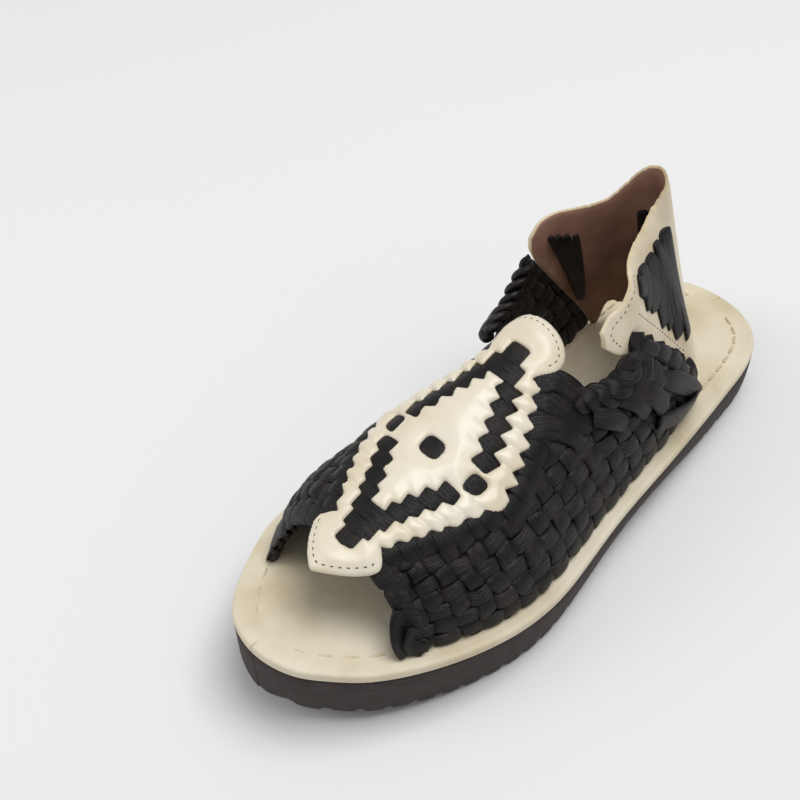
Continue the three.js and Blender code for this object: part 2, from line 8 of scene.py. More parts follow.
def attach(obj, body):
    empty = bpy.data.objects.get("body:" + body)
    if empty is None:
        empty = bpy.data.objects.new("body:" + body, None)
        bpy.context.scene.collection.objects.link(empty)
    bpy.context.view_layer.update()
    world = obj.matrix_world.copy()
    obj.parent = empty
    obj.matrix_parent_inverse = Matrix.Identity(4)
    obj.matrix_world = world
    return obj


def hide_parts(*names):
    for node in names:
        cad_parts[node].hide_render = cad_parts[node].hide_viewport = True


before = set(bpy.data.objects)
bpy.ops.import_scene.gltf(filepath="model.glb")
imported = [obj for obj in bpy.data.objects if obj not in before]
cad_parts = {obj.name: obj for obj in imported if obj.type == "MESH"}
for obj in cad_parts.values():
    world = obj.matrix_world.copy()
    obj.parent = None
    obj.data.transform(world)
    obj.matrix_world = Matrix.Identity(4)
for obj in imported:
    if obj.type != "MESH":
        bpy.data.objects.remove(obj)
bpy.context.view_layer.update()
rng = np.random.default_rng(7)

# Huarache sandal for the left foot. Shapes are worked out in millimetres, as they are cut
# and woven, and turned to metres where a mesh is made. +X is the toe, +Y the outer side.


# Table with named columns, each an array
def columnsOf(names, rows):
    values = np.array(rows, float).T
    return dict(zip(names.split(), values))


shoe = {
    "soleLength": 268.4, "soleWidth": 101.9, "outsoleThick": 19.7, "footbedThick": 4.0,
    "toeSpring": 12.6, "toeBreak": 0.224, "fit": 0.3, "instepHeight": 54.3,
    "crestFront": 0.697, "vampReach": 102.3, "outerFullness": 1.7, "innerFullness": 2.35,
    "frontBow": 4.0, "frontBowColumns": 5, "strapHeight": 90.5, "strapThick": 2.0,
    "plateHalfWidth": 32.0, "plateLow": 1.7, "plateHigh": 3.5,
    "vampColumns": 15, "rearColumns": 8, "sideRows": 12, "collarRow": 7,
    "bulgeBack": 4.6, "bulgeOut": 1.2, "bulgeUp": 2.7,
}

# Outline of the sole: station as a share of half the length, edges as shares of the width
outlineTable = columnsOf("station inner outer", [
    (-1, -0.062, -0.062), (-0.969, -0.245, 0.113), (-0.91, -0.37, 0.205),
    (-0.82, -0.427, 0.261), (-0.671, -0.436, 0.302), (-0.373, -0.39, 0.368),
    (-0.075, -0.381, 0.425), (0.224, -0.46, 0.504), (0.373, -0.482, 0.511),
    (0.522, -0.486, 0.479), (0.671, -0.458, 0.417), (0.82, -0.356, 0.321),
    (0.91, -0.271, 0.222), (0.969, -0.186, 0.129), (1, -0.03, -0.03),
])

# Crest of the vamp: its place across and its height above the footbed
crestTable = columnsOf("station side rise", [
    (-0.3, -0.132, 1.015), (-0.15, -0.118, 0.998), (-0.037, -0.098, 0.951),
    (0.089, -0.078, 0.896), (0.328, -0.039, 0.795), (0.566, -0.002, 0.685),
    (0.671, 0.01, 0.6), (0.76, 0.004, 0.51), (0.85, -0.012, 0.42),
])

# Foot line of the weave on the footbed
footTable = columnsOf("column outerStation outerInset innerStation innerInset", [
    (0, 0.722, 0.08, 0.8, 0.088), (0.13, 0.537, 0.07, 0.583, 0.066),
    (0.4, 0.183, 0.062, 0.205, 0.066), (0.652, -0.149, 0.062, -0.142, 0.066),
    (0.87, -0.44, 0.075, -0.44, 0.064), (1, -0.607, 0.092, -0.6, 0.06),
])

# Collar line from the notch to the heel strap
collarTable = columnsOf("reach station outer outerRise inner innerRise", [
    (0, -0.098, 0.157, 0.72, -0.33, 0.77), (0.25, -0.171, 0.186, 0.7, -0.366, 0.745),
    (0.5, -0.231, 0.196, 0.73, -0.388, 0.765), (0.75, -0.283, 0.19, 0.83, -0.402, 0.87),
    (1, -0.335, 0.178, 0.96, -0.41, 1.0),
])

# Heel strap from the inner lobe round the heel to the outer lobe, lower and upper edge
strapTable = columnsOf("row lowX lowY lowZ topX topY topZ", [
    (0, -0.304, -0.371, 0.719, -0.3, -0.368, 0.791),
    (1, -0.332, -0.373, 0.63, -0.326, -0.363, 0.851),
    (2, -0.38, -0.369, 0.519, -0.358, -0.356, 0.867),
    (3, -0.447, -0.359, 0.37, -0.402, -0.348, 0.862),
    (4, -0.529, -0.35, 0.193, -0.462, -0.334, 0.834),
    (5, -0.607, -0.339, 0.003, -0.518, -0.317, 0.813),
    (6, -0.648, -0.322, 0.118, -0.57, -0.291, 0.828),
    (7, -0.715, -0.277, 0.077, -0.607, -0.255, 0.895),
    (8, -0.768, -0.2, 0.057, -0.639, -0.206, 0.982),
    (9, -0.784, -0.095, 0.051, -0.662, -0.15, 1),
    (10, -0.755, 0.016, 0.057, -0.65, -0.11, 0.945),
    (11, -0.692, 0.094, 0.077, -0.601, -0.11, 0.865),
    (12, -0.642, 0.146, 0.118, -0.54, -0.082, 0.83),
    (13, -0.612, 0.186, 0.003, -0.475, -0.05, 0.824),
    (14, -0.53, 0.19, 0.118, -0.417, -0.012, 0.824),
    (15, -0.447, 0.184, 0.257, -0.37, 0.034, 0.824),
    (16, -0.358, 0.174, 0.401, -0.33, 0.084, 0.814),
    (17, -0.286, 0.164, 0.514, -0.284, 0.106, 0.771),
    (18, -0.224, 0.158, 0.596, -0.22, 0.118, 0.778),
    (19, -0.182, 0.148, 0.663, -0.18, 0.132, 0.74),
])

# Plate stations from the toe: start of each as a share of the reach, middle and half width
# of its windows as shares of the half width of the plate
plateTable = columnsOf("column start middle half", [
    (0, 0, 0, 0.119), (1, 0.058, 0, 0.185), (2, 0.117, 0, 0.25), (3, 0.177, 0.205, 0.117),
    (4, 0.235, 0.275, 0.117), (5, 0.297, 0.366, 0.117), (6, 0.361, 0.469, 0.119),
    (7, 0.427, 0.606, 0.122), (8, 0.523, 0.525, 0.119), (9, 0.6, 0.438, 0.119),
    (10, 0.665, 0.36, 0.119), (11, 0.726, 0.272, 0.119), (12, 0.79, 0.197, 0.119),
    (13, 0.848, 0, 0.228), (14, 0.926, 0, 0.122), (15, 1, 0, 0.122),
])

lastAngle = math.radians(86)
halfLength = shoe["soleLength"] / 2
stationLength = halfLength / math.sin(lastAngle)
footbedTop = shoe["outsoleThick"] + shoe["fit"] + shoe["footbedThick"]
vampColumns = shoe["vampColumns"]
allColumns = vampColumns + shoe["rearColumns"]


def mix(a, b, share):
    return a + (b - a) * share


def unit(vectors):
    return vectors / np.maximum(np.linalg.norm(vectors, axis=-1, keepdims=True), 1e-9)


# Smooth values of one column of a table at places along another
def along(table, key, place, value):
    xs = table[key]
    ys = table[value]
    place = np.asarray(place, float)
    k = np.clip(np.searchsorted(xs, place) - 1, 0, len(xs) - 2)
    ahead = np.r_[1:len(xs), len(xs) - 1]
    behind = np.r_[0, 0:len(xs) - 1]
    slopes = (ys[ahead] - ys[behind]) / (xs[ahead] - xs[behind])
    span = xs[k + 1] - xs[k]
    t = (place - xs[k]) / span
    first = slopes[k] * span
    second = slopes[k + 1] * span
    t2 = t * t
    t3 = t2 * t
    inner = (2 * t3 - 3 * t2 + 1) * ys[k] + (t3 - 2 * t2 + t) * first
    inner = inner + (3 * t2 - 2 * t3) * ys[k + 1] + (t3 - t2) * second
    return np.where(t < 0, ys[k] + first * t, np.where(t > 1, ys[k + 1] + second * (t - 1), inner))


outlineTable["angle"] = np.arcsin(outlineTable["station"])


def sideName(side):
    return "outer" if side > 0 else "inner"


# Edge of the sole by angle, which runs evenly round its ends
def edgeAt(angle, side):
    return along(outlineTable, "angle", angle, sideName(side)) * shoe["soleWidth"]


def soleEdge(station, side):
    return edgeAt(np.arcsin(np.clip(station, -1, 1)), side)


def lift(x, start=shoe["toeBreak"]):
    run = (x - start * halfLength) / (halfLength * (1 - start))
    return shoe["toeSpring"] * np.clip(run, 0, None) ** 2


# Point of the outline at a station, moved in from the edge
def edgePoint(station, side, inset):
    angle = np.arcsin(np.clip(station, -1, 1))
    step = 0.002
    across = (edgeAt(angle + step, side) - edgeAt(angle - step, side)) / (2 * step)
    forward = stationLength * np.cos(angle)
    size = np.hypot(forward, across)
    x = station * stationLength + side * across / size * inset
    y = soleEdge(station, side) - side * forward / size * inset
    return x, y


stationsRound = np.sin(np.linspace(-lastAngle, lastAngle, 201))
acrossMiddle = (soleEdge(stationsRound, 1).max() + soleEdge(stationsRound, -1).min()) / 2


def footPoint(column, side):
    share = np.asarray(column, float) / allColumns
    station = along(footTable, "column", share, sideName(side) + "Station")
    inset = along(footTable, "column", share, sideName(side) + "Inset") * shoe["soleWidth"]
    x, y = edgePoint(station, side, inset)
    return np.stack([x, y, footbedTop + shoe["fit"] + lift(x)], -1)


def crestPoint(column):
    start = along(plateTable, "column", column, "start")
    x = shoe["crestFront"] * halfLength - start * shoe["vampReach"]
    y = along(crestTable, "station", x / halfLength, "side") * shoe["soleWidth"]
    rise = along(crestTable, "station", x / halfLength, "rise") * shoe["instepHeight"]
    return np.stack([x, y, footbedTop + rise + lift(x)], -1)


def collarPoint(reach, side):
    x = along(collarTable, "reach", reach, "station") * halfLength
    y = along(collarTable, "reach", reach, sideName(side)) * shoe["soleWidth"]
    rise = along(collarTable, "reach", reach, sideName(side) + "Rise") * shoe["instepHeight"]
    return np.stack([x, y, footbedTop + rise], -1)


# Distances run along a line of points
def runsOf(points):
    steps = np.linalg.norm(np.diff(points, axis=0), axis=1)
    return np.concatenate([[0], np.cumsum(steps)])


def atRuns(runs, points, wanted):
    return np.stack([np.interp(wanted, runs, points[:, axis]) for axis in range(3)], -1)


# Half hoops of the vamp from crest to foot, each cut into equal lengths
def halfHoops(columns, side, count):
    crest = crestPoint(columns)[:, None]
    foot = footPoint(columns, side)[:, None]
    fullness = shoe["outerFullness"] if side > 0 else shoe["innerFullness"]
    bow = shoe["frontBow"] * np.clip(1 - columns / shoe["frontBowColumns"], 0, None)[:, None]
    angle = np.linspace(0, math.pi / 2, 97)[None]
    out = np.sin(angle) ** (2 / fullness)
    up = np.clip(np.cos(angle), 0, 1) ** (2 / fullness)
    x = mix(crest[..., 0], foot[..., 0], 1 - up) - bow * np.sin(2 * angle)
    y = mix(crest[..., 1], foot[..., 1], out)
    z = mix(foot[..., 2], crest[..., 2], up)
    even = []
    lengths = []
    for hoop in np.stack([x, y, z], -1):
        runs = runsOf(hoop)
        lengths.append(runs[-1])
        even.append(atRuns(runs, hoop, np.linspace(0, runs[-1], count + 1)))
    return np.array(even), np.array(lengths)


# A surface kept as a fine grid: positions and outward directions anywhere on it
def surfaceGrid(us, vs, points):
    du = np.gradient(points, axis=0)
    dv = np.gradient(points, axis=1)
    normals = unit(np.cross(dv, du))
    return {"us": us, "vs": vs, "points": points, "normals": normals}


def onSurface(grid, u, v, height=0.0):
    u, v, height = np.broadcast_arrays(np.asarray(u, float), v, height)
    a = (u - grid["us"][0]) / (grid["us"][1] - grid["us"][0])
    b = (v - grid["vs"][0]) / (grid["vs"][1] - grid["vs"][0])
    i = np.clip(np.floor(a).astype(int), 0, len(grid["us"]) - 2)
    j = np.clip(np.floor(b).astype(int), 0, len(grid["vs"]) - 2)
    s = (a - i)[..., None]
    t = (b - j)[..., None]
    found = []
    for values in (grid["points"], grid["normals"]):
        near = mix(values[i, j], values[i + 1, j], s)
        far = mix(values[i, j + 1], values[i + 1, j + 1], s)
        found.append(mix(near, far, t))
    normals = unit(found[1])
    return found[0] + normals * height[..., None], normals


girthSteps = 120
girths = np.linspace(-1, 1, 2 * girthSteps + 1)


def vampGrid(us):
    inner, innerLength = halfHoops(us, -1, girthSteps)
    outer, outerLength = halfHoops(us, 1, girthSteps)
    points = np.concatenate([inner[:, :0:-1], outer], 1)
    return points, innerLength, outerLength


vampUs = np.linspace(-2.5, 17.5, 201)
vampPoints, innerLengths, outerLengths = vampGrid(vampUs)
vamp = surfaceGrid(vampUs, girths, vampPoints)


# Behind the notch only the part under the collar is used
def weaveGrid():
    us = np.linspace(0, allColumns, 10 * allColumns + 1)
    front = us <= vampColumns
    points = np.empty((len(us), len(girths), 3))
    points[front] = vampGrid(us[front])[0]
    rear = us[~front]
    reach = (rear - vampColumns)[:, None, None] / shoe["rearColumns"]
    notch, _, _ = vampGrid(np.array([float(vampColumns)]))
    topShare = shoe["collarRow"] / shoe["sideRows"]
    for side in (-1, 1):
        chosen = girths <= 0 if side < 0 else girths > 0
        share = 1 - np.abs(girths[chosen])
        up = (share / topShare)[None, :, None]
        foot0 = footPoint(vampColumns, side)
        atTop = (1 - topShare) * girthSteps
        notchTop = notch[0, round(girthSteps + side * atTop)]
        bow = notch[0, chosen][None] - (foot0 + (notchTop - foot0) * up)
        meet = (notchTop - collarPoint(0.0, side)) * (1 - reach) ** 2
        join = collarPoint(reach[..., 0], side) + meet
        foot = footPoint(rear, side)[:, None]
        outward = np.array([-shoe["bulgeBack"], side * shoe["bulgeOut"], shoe["bulgeUp"]])
        place = foot + (join - foot) * up + bow * (1 - reach)
        place = place + outward * (4 * up * (1 - up) * reach)
        points[np.ix_(~front, chosen)] = place
    return surfaceGrid(us, girths, points)


weave = weaveGrid()


# Girth of a point of the vamp that lies a distance off the crest
def girthAt(column, off):
    inner = np.interp(column, vampUs, innerLengths)
    outer = np.interp(column, vampUs, outerLengths)
    return np.where(np.asarray(off) >= 0, off / outer, off / inner)


def strapGrid():
    us = np.linspace(0, 19, 381)
    vs = np.linspace(-0.1, 1.1, 61)
    size = np.array([halfLength, shoe["soleWidth"], shoe["strapHeight"]])
    low = np.stack([along(strapTable, "row", us, "low" + axis) for axis in "XYZ"], -1) * size
    top = np.stack([along(strapTable, "row", us, "top" + axis) for axis in "XYZ"], -1) * size
    points = mix(low[:, None], top[:, None], vs[None, :, None])
    points[..., 2] += footbedTop
    return surfaceGrid(us, vs, points)


strap = strapGrid()
print("surfaces ready", vamp["points"].shape, weave["points"].shape)

# Camera of the photograph, in the frame of the shoe
camera = {
    "place": (0.26387, 0.22889, 0.4422),
    "right": (-0.730504, 0.68222, -0.030663),
    "up": (-0.516974, -0.523107, 0.677567),
    "back": (0.446209, 0.510817, 0.734822),
    "lens": 61.5, "sensor": 36,
}


def addCamera():
    data = bpy.data.cameras.new("camera")
    data.lens = camera["lens"]
    data.sensor_width = camera["sensor"]
    data.clip_start = 0.01
    data.clip_end = 50
    eye = bpy.data.objects.new("camera", data)
    turn = Matrix((camera["right"], camera["up"], camera["back"])).transposed().to_4x4()
    eye.matrix_world = Matrix.Translation(camera["place"]) @ turn
    bpy.context.scene.collection.objects.link(eye)
    bpy.context.scene.camera = eye


addCamera()


# sRGB hex to the linear colour that a shader takes
def linear(hexColour):
    parts = [int(hexColour[k:k + 2], 16) / 255 for k in (0, 2, 4)]
    return [p / 12.92 if p <= 0.04045 else ((p + 0.055) / 1.055) ** 2.4 for p in parts] + [1.0]


# Inputs of a node, each linked to a socket or filled with a value
def feed(target, inputs):
    for name, value in inputs.items():
        socket = target.inputs[name]
        if isinstance(value, bpy.types.NodeSocket):
            target.id_data.links.new(value, socket)
        else:
            socket.default_value = value


# One node with its settings, its inputs and, for a colour ramp, its stops
def node(tree, kind, inputs=None, stops=(), **settings):
    made = tree.nodes.new(kind)
    for name, value in settings.items():
        setattr(made, name, value)
    feed(made, inputs or {})
    if stops:
        elements = made.color_ramp.elements
        while len(elements) < len(stops):
            elements.new(0.5)
        for element, (place, colour) in zip(elements, stops):
            element.position = place
            element.color = linear(colour)
    return made


def newMaterial(name):
    material = bpy.data.materials.new(name)
    material.use_nodes = True
    tree = material.node_tree
    tree.nodes.clear()
    shader = node(tree, "ShaderNodeBsdfPrincipled")
    node(tree, "ShaderNodeOutputMaterial", {"Surface": shader.outputs[0]})
    return material, tree, shader


millimetre = 0.001
threadUnit = 10.0    # millimetres of cord to one unit of its thread map
cordPatches = 120.0    # to a metre, each about 8 mm wide, standing for worn spots and for spots turned to the light: they vary its roughness and break up its painted highlight
leatherClouds = 35.0    # to a metre, each about 30 mm wide, where the dye took unevenly

# Colours of the cord: painted shade in the valleys between strands, the body colour, and a painted
# highlight on the strands' crests
cordLook = {
    "valleyPaintedShade": "040303", "body": "0f0b0b", "crest": "2a2120", "strand": 0.8,
    "roughness": 0.45, "sheen": 0.02, "bump": 1.0, "bumpDepth": 0.8, "specular": 0.32,
}


# Flat braided viscose cord: strands along it, drawn three times too thick so that they
# show, and a broken, silky shine where they turn to the light. The shine is partly real gloss
# and partly painted: painted shade in the valleys between strands, painted highlight on their
# crests
def makeCord(name):
    look = cordLook
    material, tree, shader = newMaterial(name)
    thread = node(tree, "ShaderNodeUVMap", uv_map="thread")
    drawn = node(tree, "ShaderNodeMapping", {
        "Vector": thread.outputs[0], "Scale": (0.9, threadUnit / look["strand"], 1.0)})
    strands = node(tree, "ShaderNodeTexNoise", {
        "Vector": drawn.outputs[0], "Scale": 1.0, "Detail": 2.5, "Roughness": 0.6,
        "Distortion": 0.15}).outputs["Fac"]
    position = node(tree, "ShaderNodeNewGeometry").outputs["Position"]
    patches = node(tree, "ShaderNodeTexNoise", {
        "Vector": position, "Scale": cordPatches, "Detail": 2.0}).outputs["Fac"]
    blend = node(tree, "ShaderNodeMath", {0: strands, 1: patches}, operation="MULTIPLY")
    # Colour from the strands: painted shade where they sink, painted highlight where they rise,
    # broken up by the patches
    shade = node(tree, "ShaderNodeValToRGB", {"Fac": blend.outputs[0]}, [
        (0.12, look["valleyPaintedShade"]), (0.25, look["body"]), (0.42, look["crest"])])
    rough = node(tree, "ShaderNodeMapRange", {
        "Value": patches, "To Min": look["roughness"] - 0.12, "To Max": look["roughness"] + 0.15})
    bump = node(tree, "ShaderNodeBump", {
        "Height": strands, "Strength": look["bump"], "Distance": look["bumpDepth"] * millimetre})
    feed(shader, {
        "Base Color": shade.outputs["Color"], "Roughness": rough.outputs[0],
        "Normal": bump.outputs[0], "IOR": 1.5, "Specular IOR Level": look["specular"],
        "Sheen Weight": look["sheen"], "Sheen Roughness": 0.4})
    return material


cordWoven = makeCord("cordBraidedBlack")

leatherLooks = {
    "footbed": {"name": "leatherCowhideCream", "light": "e9e0cb", "body": "dfd4ba",
                "dark": "cfc0a0", "grain": 0.9, "roughness": 0.55, "bump": 0.25, "coat": 0.0},
    "plate": {"name": "leatherNappaIvory", "light": "efe8d8", "body": "e9dfc9", "dark": "dfd2b6",
              "grain": 1.1, "roughness": 0.34, "bump": 0.12, "coat": 0.25},
    "strap": {"name": "leatherNappaCream", "light": "e9dfcb", "body": "dfd2b8", "dark": "cebd9d",
              "grain": 1.1, "roughness": 0.48, "bump": 0.16, "coat": 0.06},
    "edge": {"name": "leatherCutEdge", "light": "efe4cc", "body": "dccba9", "dark": "bfa880",
             "grain": 0.5, "roughness": 0.85, "bump": 0.6, "coat": 0.0},
    "suede": {"name": "suedeBrushedBrown", "light": "be9382", "body": "a47c6a", "dark": "846050",
              "grain": 0.6, "roughness": 0.95, "bump": 0.5, "coat": 0.0},
}


# Dyed hide: small pebbled grain, soft cloudy colour and a low gloss on the finished side
def makeLeather(look):
    material, tree, shader = newMaterial(look["name"])
    position = node(tree, "ShaderNodeNewGeometry").outputs["Position"]
    clouds = node(tree, "ShaderNodeTexNoise", {
        "Vector": position, "Scale": leatherClouds, "Detail": 4.0,
        "Roughness": 0.55}).outputs["Fac"]
    shade = node(tree, "ShaderNodeValToRGB", {"Fac": clouds}, [
        (0.3, look["dark"]), (0.5, look["body"]), (0.72, look["light"])])
    cells = node(tree, "ShaderNodeTexVoronoi", {
        "Vector": position, "Scale": 1 / (look["grain"] * millimetre)}, feature="F1")
    fibres = node(tree, "ShaderNodeTexNoise", {
        "Vector": position, "Scale": 2.2 / (look["grain"] * millimetre), "Detail": 3.0})
    height = node(tree, "ShaderNodeMath", {0: cells.outputs["Distance"], 1: fibres.outputs["Fac"]},
                  operation="ADD")
    bump = node(tree, "ShaderNodeBump", {
        "Height": height.outputs[0], "Strength": look["bump"], "Distance": 0.12 * millimetre})
    rough = node(tree, "ShaderNodeMapRange", {
        "Value": clouds, "To Min": look["roughness"] - 0.06, "To Max": look["roughness"] + 0.08})
    feed(shader, {
        "Base Color": shade.outputs["Color"], "Roughness": rough.outputs[0],
        "Normal": bump.outputs[0], "IOR": 1.47, "Coat Weight": look["coat"],
        "Coat Roughness": 0.35})
    return material


leatherFootbed = makeLeather(leatherLooks["footbed"])
leatherPlate = makeLeather(leatherLooks["plate"])
leatherStrap = makeLeather(leatherLooks["strap"])
leatherEdge = makeLeather(leatherLooks["edge"])
suedeStrap = makeLeather(leatherLooks["suede"])

foamLook = {"name": "rubberExpandedBrown", "light": "4c4240", "body": "3d3533", "dark": "2f2927",
            "pebble": 0.7, "streak": 6.0, "roughness": 0.88, "bump": 0.5}


# Expanded rubber, moulded: a dull skin with fine pores and faint streaks along the wall
def makeFoam(look):
    material, tree, shader = newMaterial(look["name"])
    position = node(tree, "ShaderNodeNewGeometry").outputs["Position"]
    stretch = node(tree, "ShaderNodeMapping", {"Vector": position, "Scale": (1.0, 1.0, 5.0)})
    streaks = node(tree, "ShaderNodeTexNoise", {
        "Vector": stretch.outputs[0], "Scale": 1 / (look["streak"] * millimetre), "Detail": 5.0})
    pores = node(tree, "ShaderNodeTexNoise", {
        "Vector": position, "Scale": 1 / (look["pebble"] * millimetre), "Detail": 3.0})
    both = node(tree, "ShaderNodeMath", {0: streaks.outputs["Fac"], 1: pores.outputs["Fac"]},
                operation="MULTIPLY")
    shade = node(tree, "ShaderNodeValToRGB", {"Fac": both.outputs[0]}, [
        (0.12, look["dark"]), (0.26, look["body"]), (0.42, look["light"])])
    bump = node(tree, "ShaderNodeBump", {
        "Height": pores.outputs["Fac"], "Strength": look["bump"], "Distance": 0.2 * millimetre})
    feed(shader, {
        "Base Color": shade.outputs["Color"], "Roughness": look["roughness"],
        "Normal": bump.outputs[0]})
    return material


foam = makeFoam(foamLook)

threadLook = {"name": "threadPolyesterCream", "light": "e6d9bd", "dark": "b8a37d", "twist": 0.35}
holeLook = {"name": "leatherPiercedShade", "light": "6b5a44", "dark": "3c3024", "twist": 0.6}


# Waxed polyester thread, twisted: short slanting strands
def makeThread(look):
    material, tree, shader = newMaterial(look["name"])
    position = node(tree, "ShaderNodeNewGeometry").outputs["Position"]
    strands = node(tree, "ShaderNodeTexNoise", {
        "Vector": position, "Scale": 1 / (look["twist"] * millimetre), "Detail": 2.0})
    shade = node(tree, "ShaderNodeValToRGB", {"Fac": strands.outputs["Fac"]}, [
        (0.35, look["dark"]), (0.6, look["light"])])
    feed(shader, {"Base Color": shade.outputs["Color"], "Roughness": 0.6})
    return material


thread = makeThread(threadLook)
needleShade = makeThread(holeLook)    # dark inside of a hole pierced in the leather
print("materials ready")


# A mesh piece from millimetre points, with the thread map where it has one
def addPiece(name, points, faces, materials, nodes=(), uvs=None, faceMaterial=None):
    place = (np.asarray(points) - [0, acrossMiddle, 0]) * millimetre
    mesh = bpy.data.meshes.new(name)
    mesh.from_pydata(place.tolist(), [], [list(map(int, face)) for face in faces])
    mesh.update()
    for material in materials:
        mesh.materials.append(material)
    mesh.polygons.foreach_set("use_smooth", [True] * len(mesh.polygons))
    if faceMaterial is not None:
        mesh.polygons.foreach_set("material_index", np.asarray(faceMaterial, dtype=np.int32))
    if uvs is not None:
        corners = np.empty(len(mesh.loops), dtype=np.int32)
        mesh.loops.foreach_get("vertex_index", corners)
        layer = mesh.uv_layers.new(name="thread")
        layer.data.foreach_set("uv", np.asarray(uvs)[corners].ravel())
    piece = bpy.data.objects.new(name, mesh)
    bpy.context.scene.collection.objects.link(piece)
    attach(piece, "root")
    if nodes:
        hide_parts(*nodes)


# Faces of a grid of rows by columns of points, closed round the columns or not
def gridFaces(rows, cols, closed=False):
    i = np.arange(rows - 1)[:, None]
    j = np.arange(cols if closed else cols - 1)[None]
    a = i * cols + j
    b = i * cols + (j + 1) % cols
    return np.stack([a, b, b + cols, a + cols], -1).reshape(-1, 4)


# A bundle of cords that become one mesh
def newBundle():
    return {"points": [], "faces": [], "uvs": [], "count": 0}


def addPart(bundle, points, faces, uvs):
    bundle["points"].append(np.asarray(points, float).reshape(-1, 3))
    bundle["faces"].extend((np.asarray(face) + bundle["count"]).tolist() for face in faces)
    bundle["uvs"].append(np.asarray(uvs, float).reshape(-1, 2))
    bundle["count"] += len(bundle["points"][-1])


def addBundle(name, bundle, material, nodes=()):
    points = np.concatenate(bundle["points"])
    uvs = np.concatenate(bundle["uvs"])
    addPiece(name, points, bundle["faces"], [material], nodes, uvs)
    print(name, len(points), "points")


sectionAngles = np.linspace(0, 2 * math.pi, 12, endpoint=False)
threadAngles = np.linspace(0, 2 * math.pi, 6, endpoint=False)


# A flat cord along a path: crowned on both faces, with rounded edges and closed ends
def flatCord(bundle, path, outward, width, thick, angles=sectionAngles, flat=0.75):
    path = np.asarray(path, float)
    tangent = unit(np.gradient(path, axis=0))
    aside = unit(np.cross(tangent, outward))
    up = np.cross(aside, tangent)
    width = np.broadcast_to(width, len(path))[:, None, None]
    thick = np.broadcast_to(thick, len(path))[:, None, None]
    across = np.sign(np.cos(angles)) * np.abs(np.cos(angles)) ** flat
    rise = np.sign(np.sin(angles)) * np.abs(np.sin(angles)) ** 0.7
    ring = path[:, None] + aside[:, None] * (across[None, :, None] * width / 2)
    ring = ring + up[:, None] * (rise[None, :, None] * thick / 2)
    uvs = np.empty((len(path), len(angles), 2))
    uvs[..., 0] = runsOf(path)[:, None] / threadUnit
    uvs[..., 1] = (across[None] * width[..., 0] / 2) / threadUnit
    faces = gridFaces(len(path), len(angles), closed=True).tolist()
    last = (len(path) - 1) * len(angles)
    faces.append(list(range(len(angles)))[::-1])
    faces.append(list(range(last, last + len(angles))))
    addPart(bundle, ring, faces, uvs)


# Outsole: rings across the sole with a rounded lip, a tapered wall and ribs underneath
outsoleSizes = {"ribPitch": 8.95, "ribLand": 5.4, "ribDepth": 1.5, "archRise": 4.0,
                "archRear": -0.62, "archFront": 0.06, "toeRise": 9.4, "ballEnd": 0.38,
                "waistTaper": 1.9, "outerTaper": 1.9, "innerTaper": 0.1,
                "waistStation": -0.25, "waistSpan": 1.2, "lip": 0.9, "rings": 300}


def taperAt(station, side):
    waist = np.clip(np.cos(math.pi * (station - outsoleSizes["waistStation"])
                           / outsoleSizes["waistSpan"]), 0, None)
    tight = np.minimum(1, 0.25 + (1 - np.abs(station)) * 40)
    base = outsoleSizes["outerTaper"] if side > 0 else outsoleSizes["innerTaper"]
    return (base + outsoleSizes["waistTaper"] * waist) * tight


def undersideAt(x):
    share = (x / halfLength - outsoleSizes["archRear"])
    share = np.clip(share / (outsoleSizes["archFront"] - outsoleSizes["archRear"]), 0, 1)
    arch = outsoleSizes["archRise"] * np.sin(math.pi * share) ** 2
    rise = lift(x, outsoleSizes["ballEnd"]) * outsoleSizes["toeRise"] / shoe["toeSpring"]
    return rise + arch


# Stations close together at the round ends of the sole and even between them
def soleStations(count):
    end = math.radians(89.85)
    bent = np.sin(np.linspace(-end, end, count + 1))
    even = np.linspace(-1, 1, count + 1)
    straight = 0.93    # share of half the length up to which they are even
    return np.sort(np.concatenate([bent[np.abs(bent) > straight], even[np.abs(even) <= straight]]))


# Rings of a closed slab from rows of (inset, height) on both sides, filled across. They run
# to the very ends of the outline, so they are drawn in to the length of the sole.
def slab(name, stations, edgeRows, fill, materials, nodes):
    sides = []
    for side in (-1, 1):
        points = []
        for inset, z in edgeRows(stations, side):
            x, y = edgePoint(stations, side, inset)
            points.append(np.stack([x * math.sin(lastAngle), y, np.broadcast_to(z, x.shape)], -1))
        sides.append(points)
    inner, outer = sides
    top = [mix(inner[0], outer[0], share) for share in np.linspace(0, 1, fill + 1)[1:-1]]
    under = [mix(outer[-1], inner[-1], share) for share in np.linspace(0, 1, fill + 1)[1:-1]]
    ring = np.stack(inner[::-1] + top + outer + under, 1)
    count = ring.shape[1]
    faces = gridFaces(len(stations), count, closed=True).tolist()
    last = (len(stations) - 1) * count
    faces.append(list(range(count))[::-1])
    faces.append(list(range(last, last + count)))
    addPiece(name, ring.reshape(-1, 3), faces, materials, nodes)


def outsoleRows(stations, side):
    x = stations * stationLength
    top = lift(x) + shoe["outsoleThick"]
    phase = np.mod(x, outsoleSizes["ribPitch"])
    land = outsoleSizes["ribLand"]
    share = np.clip((phase - land) / (outsoleSizes["ribPitch"] - land), 0, 1)
    groove = np.clip(np.sin(math.pi * share), 0, None) ** 0.7 * outsoleSizes["ribDepth"]
    under = undersideAt(x) + groove
    taper = taperAt(stations, side)
    lip = outsoleSizes["lip"]
    rows = [(lip, top), (lip * 0.3, top - lip * 0.25), (0, top - lip)]
    for share in (0.2, 0.4, 0.55, 0.7, 0.82, 0.91):
        rows.append((taper * share ** 2.1, mix(top - lip, under, share)))
    rows.append((taper + 0.1, under + 0.5))
    rows.append((taper + 0.9, under))
    return rows


slab("outsoleFoam", soleStations(outsoleSizes["rings"]), outsoleRows, 6, [foam],
     ["outsole"])

footbedSizes = {"edgeRound": 1.3, "rings": 240}


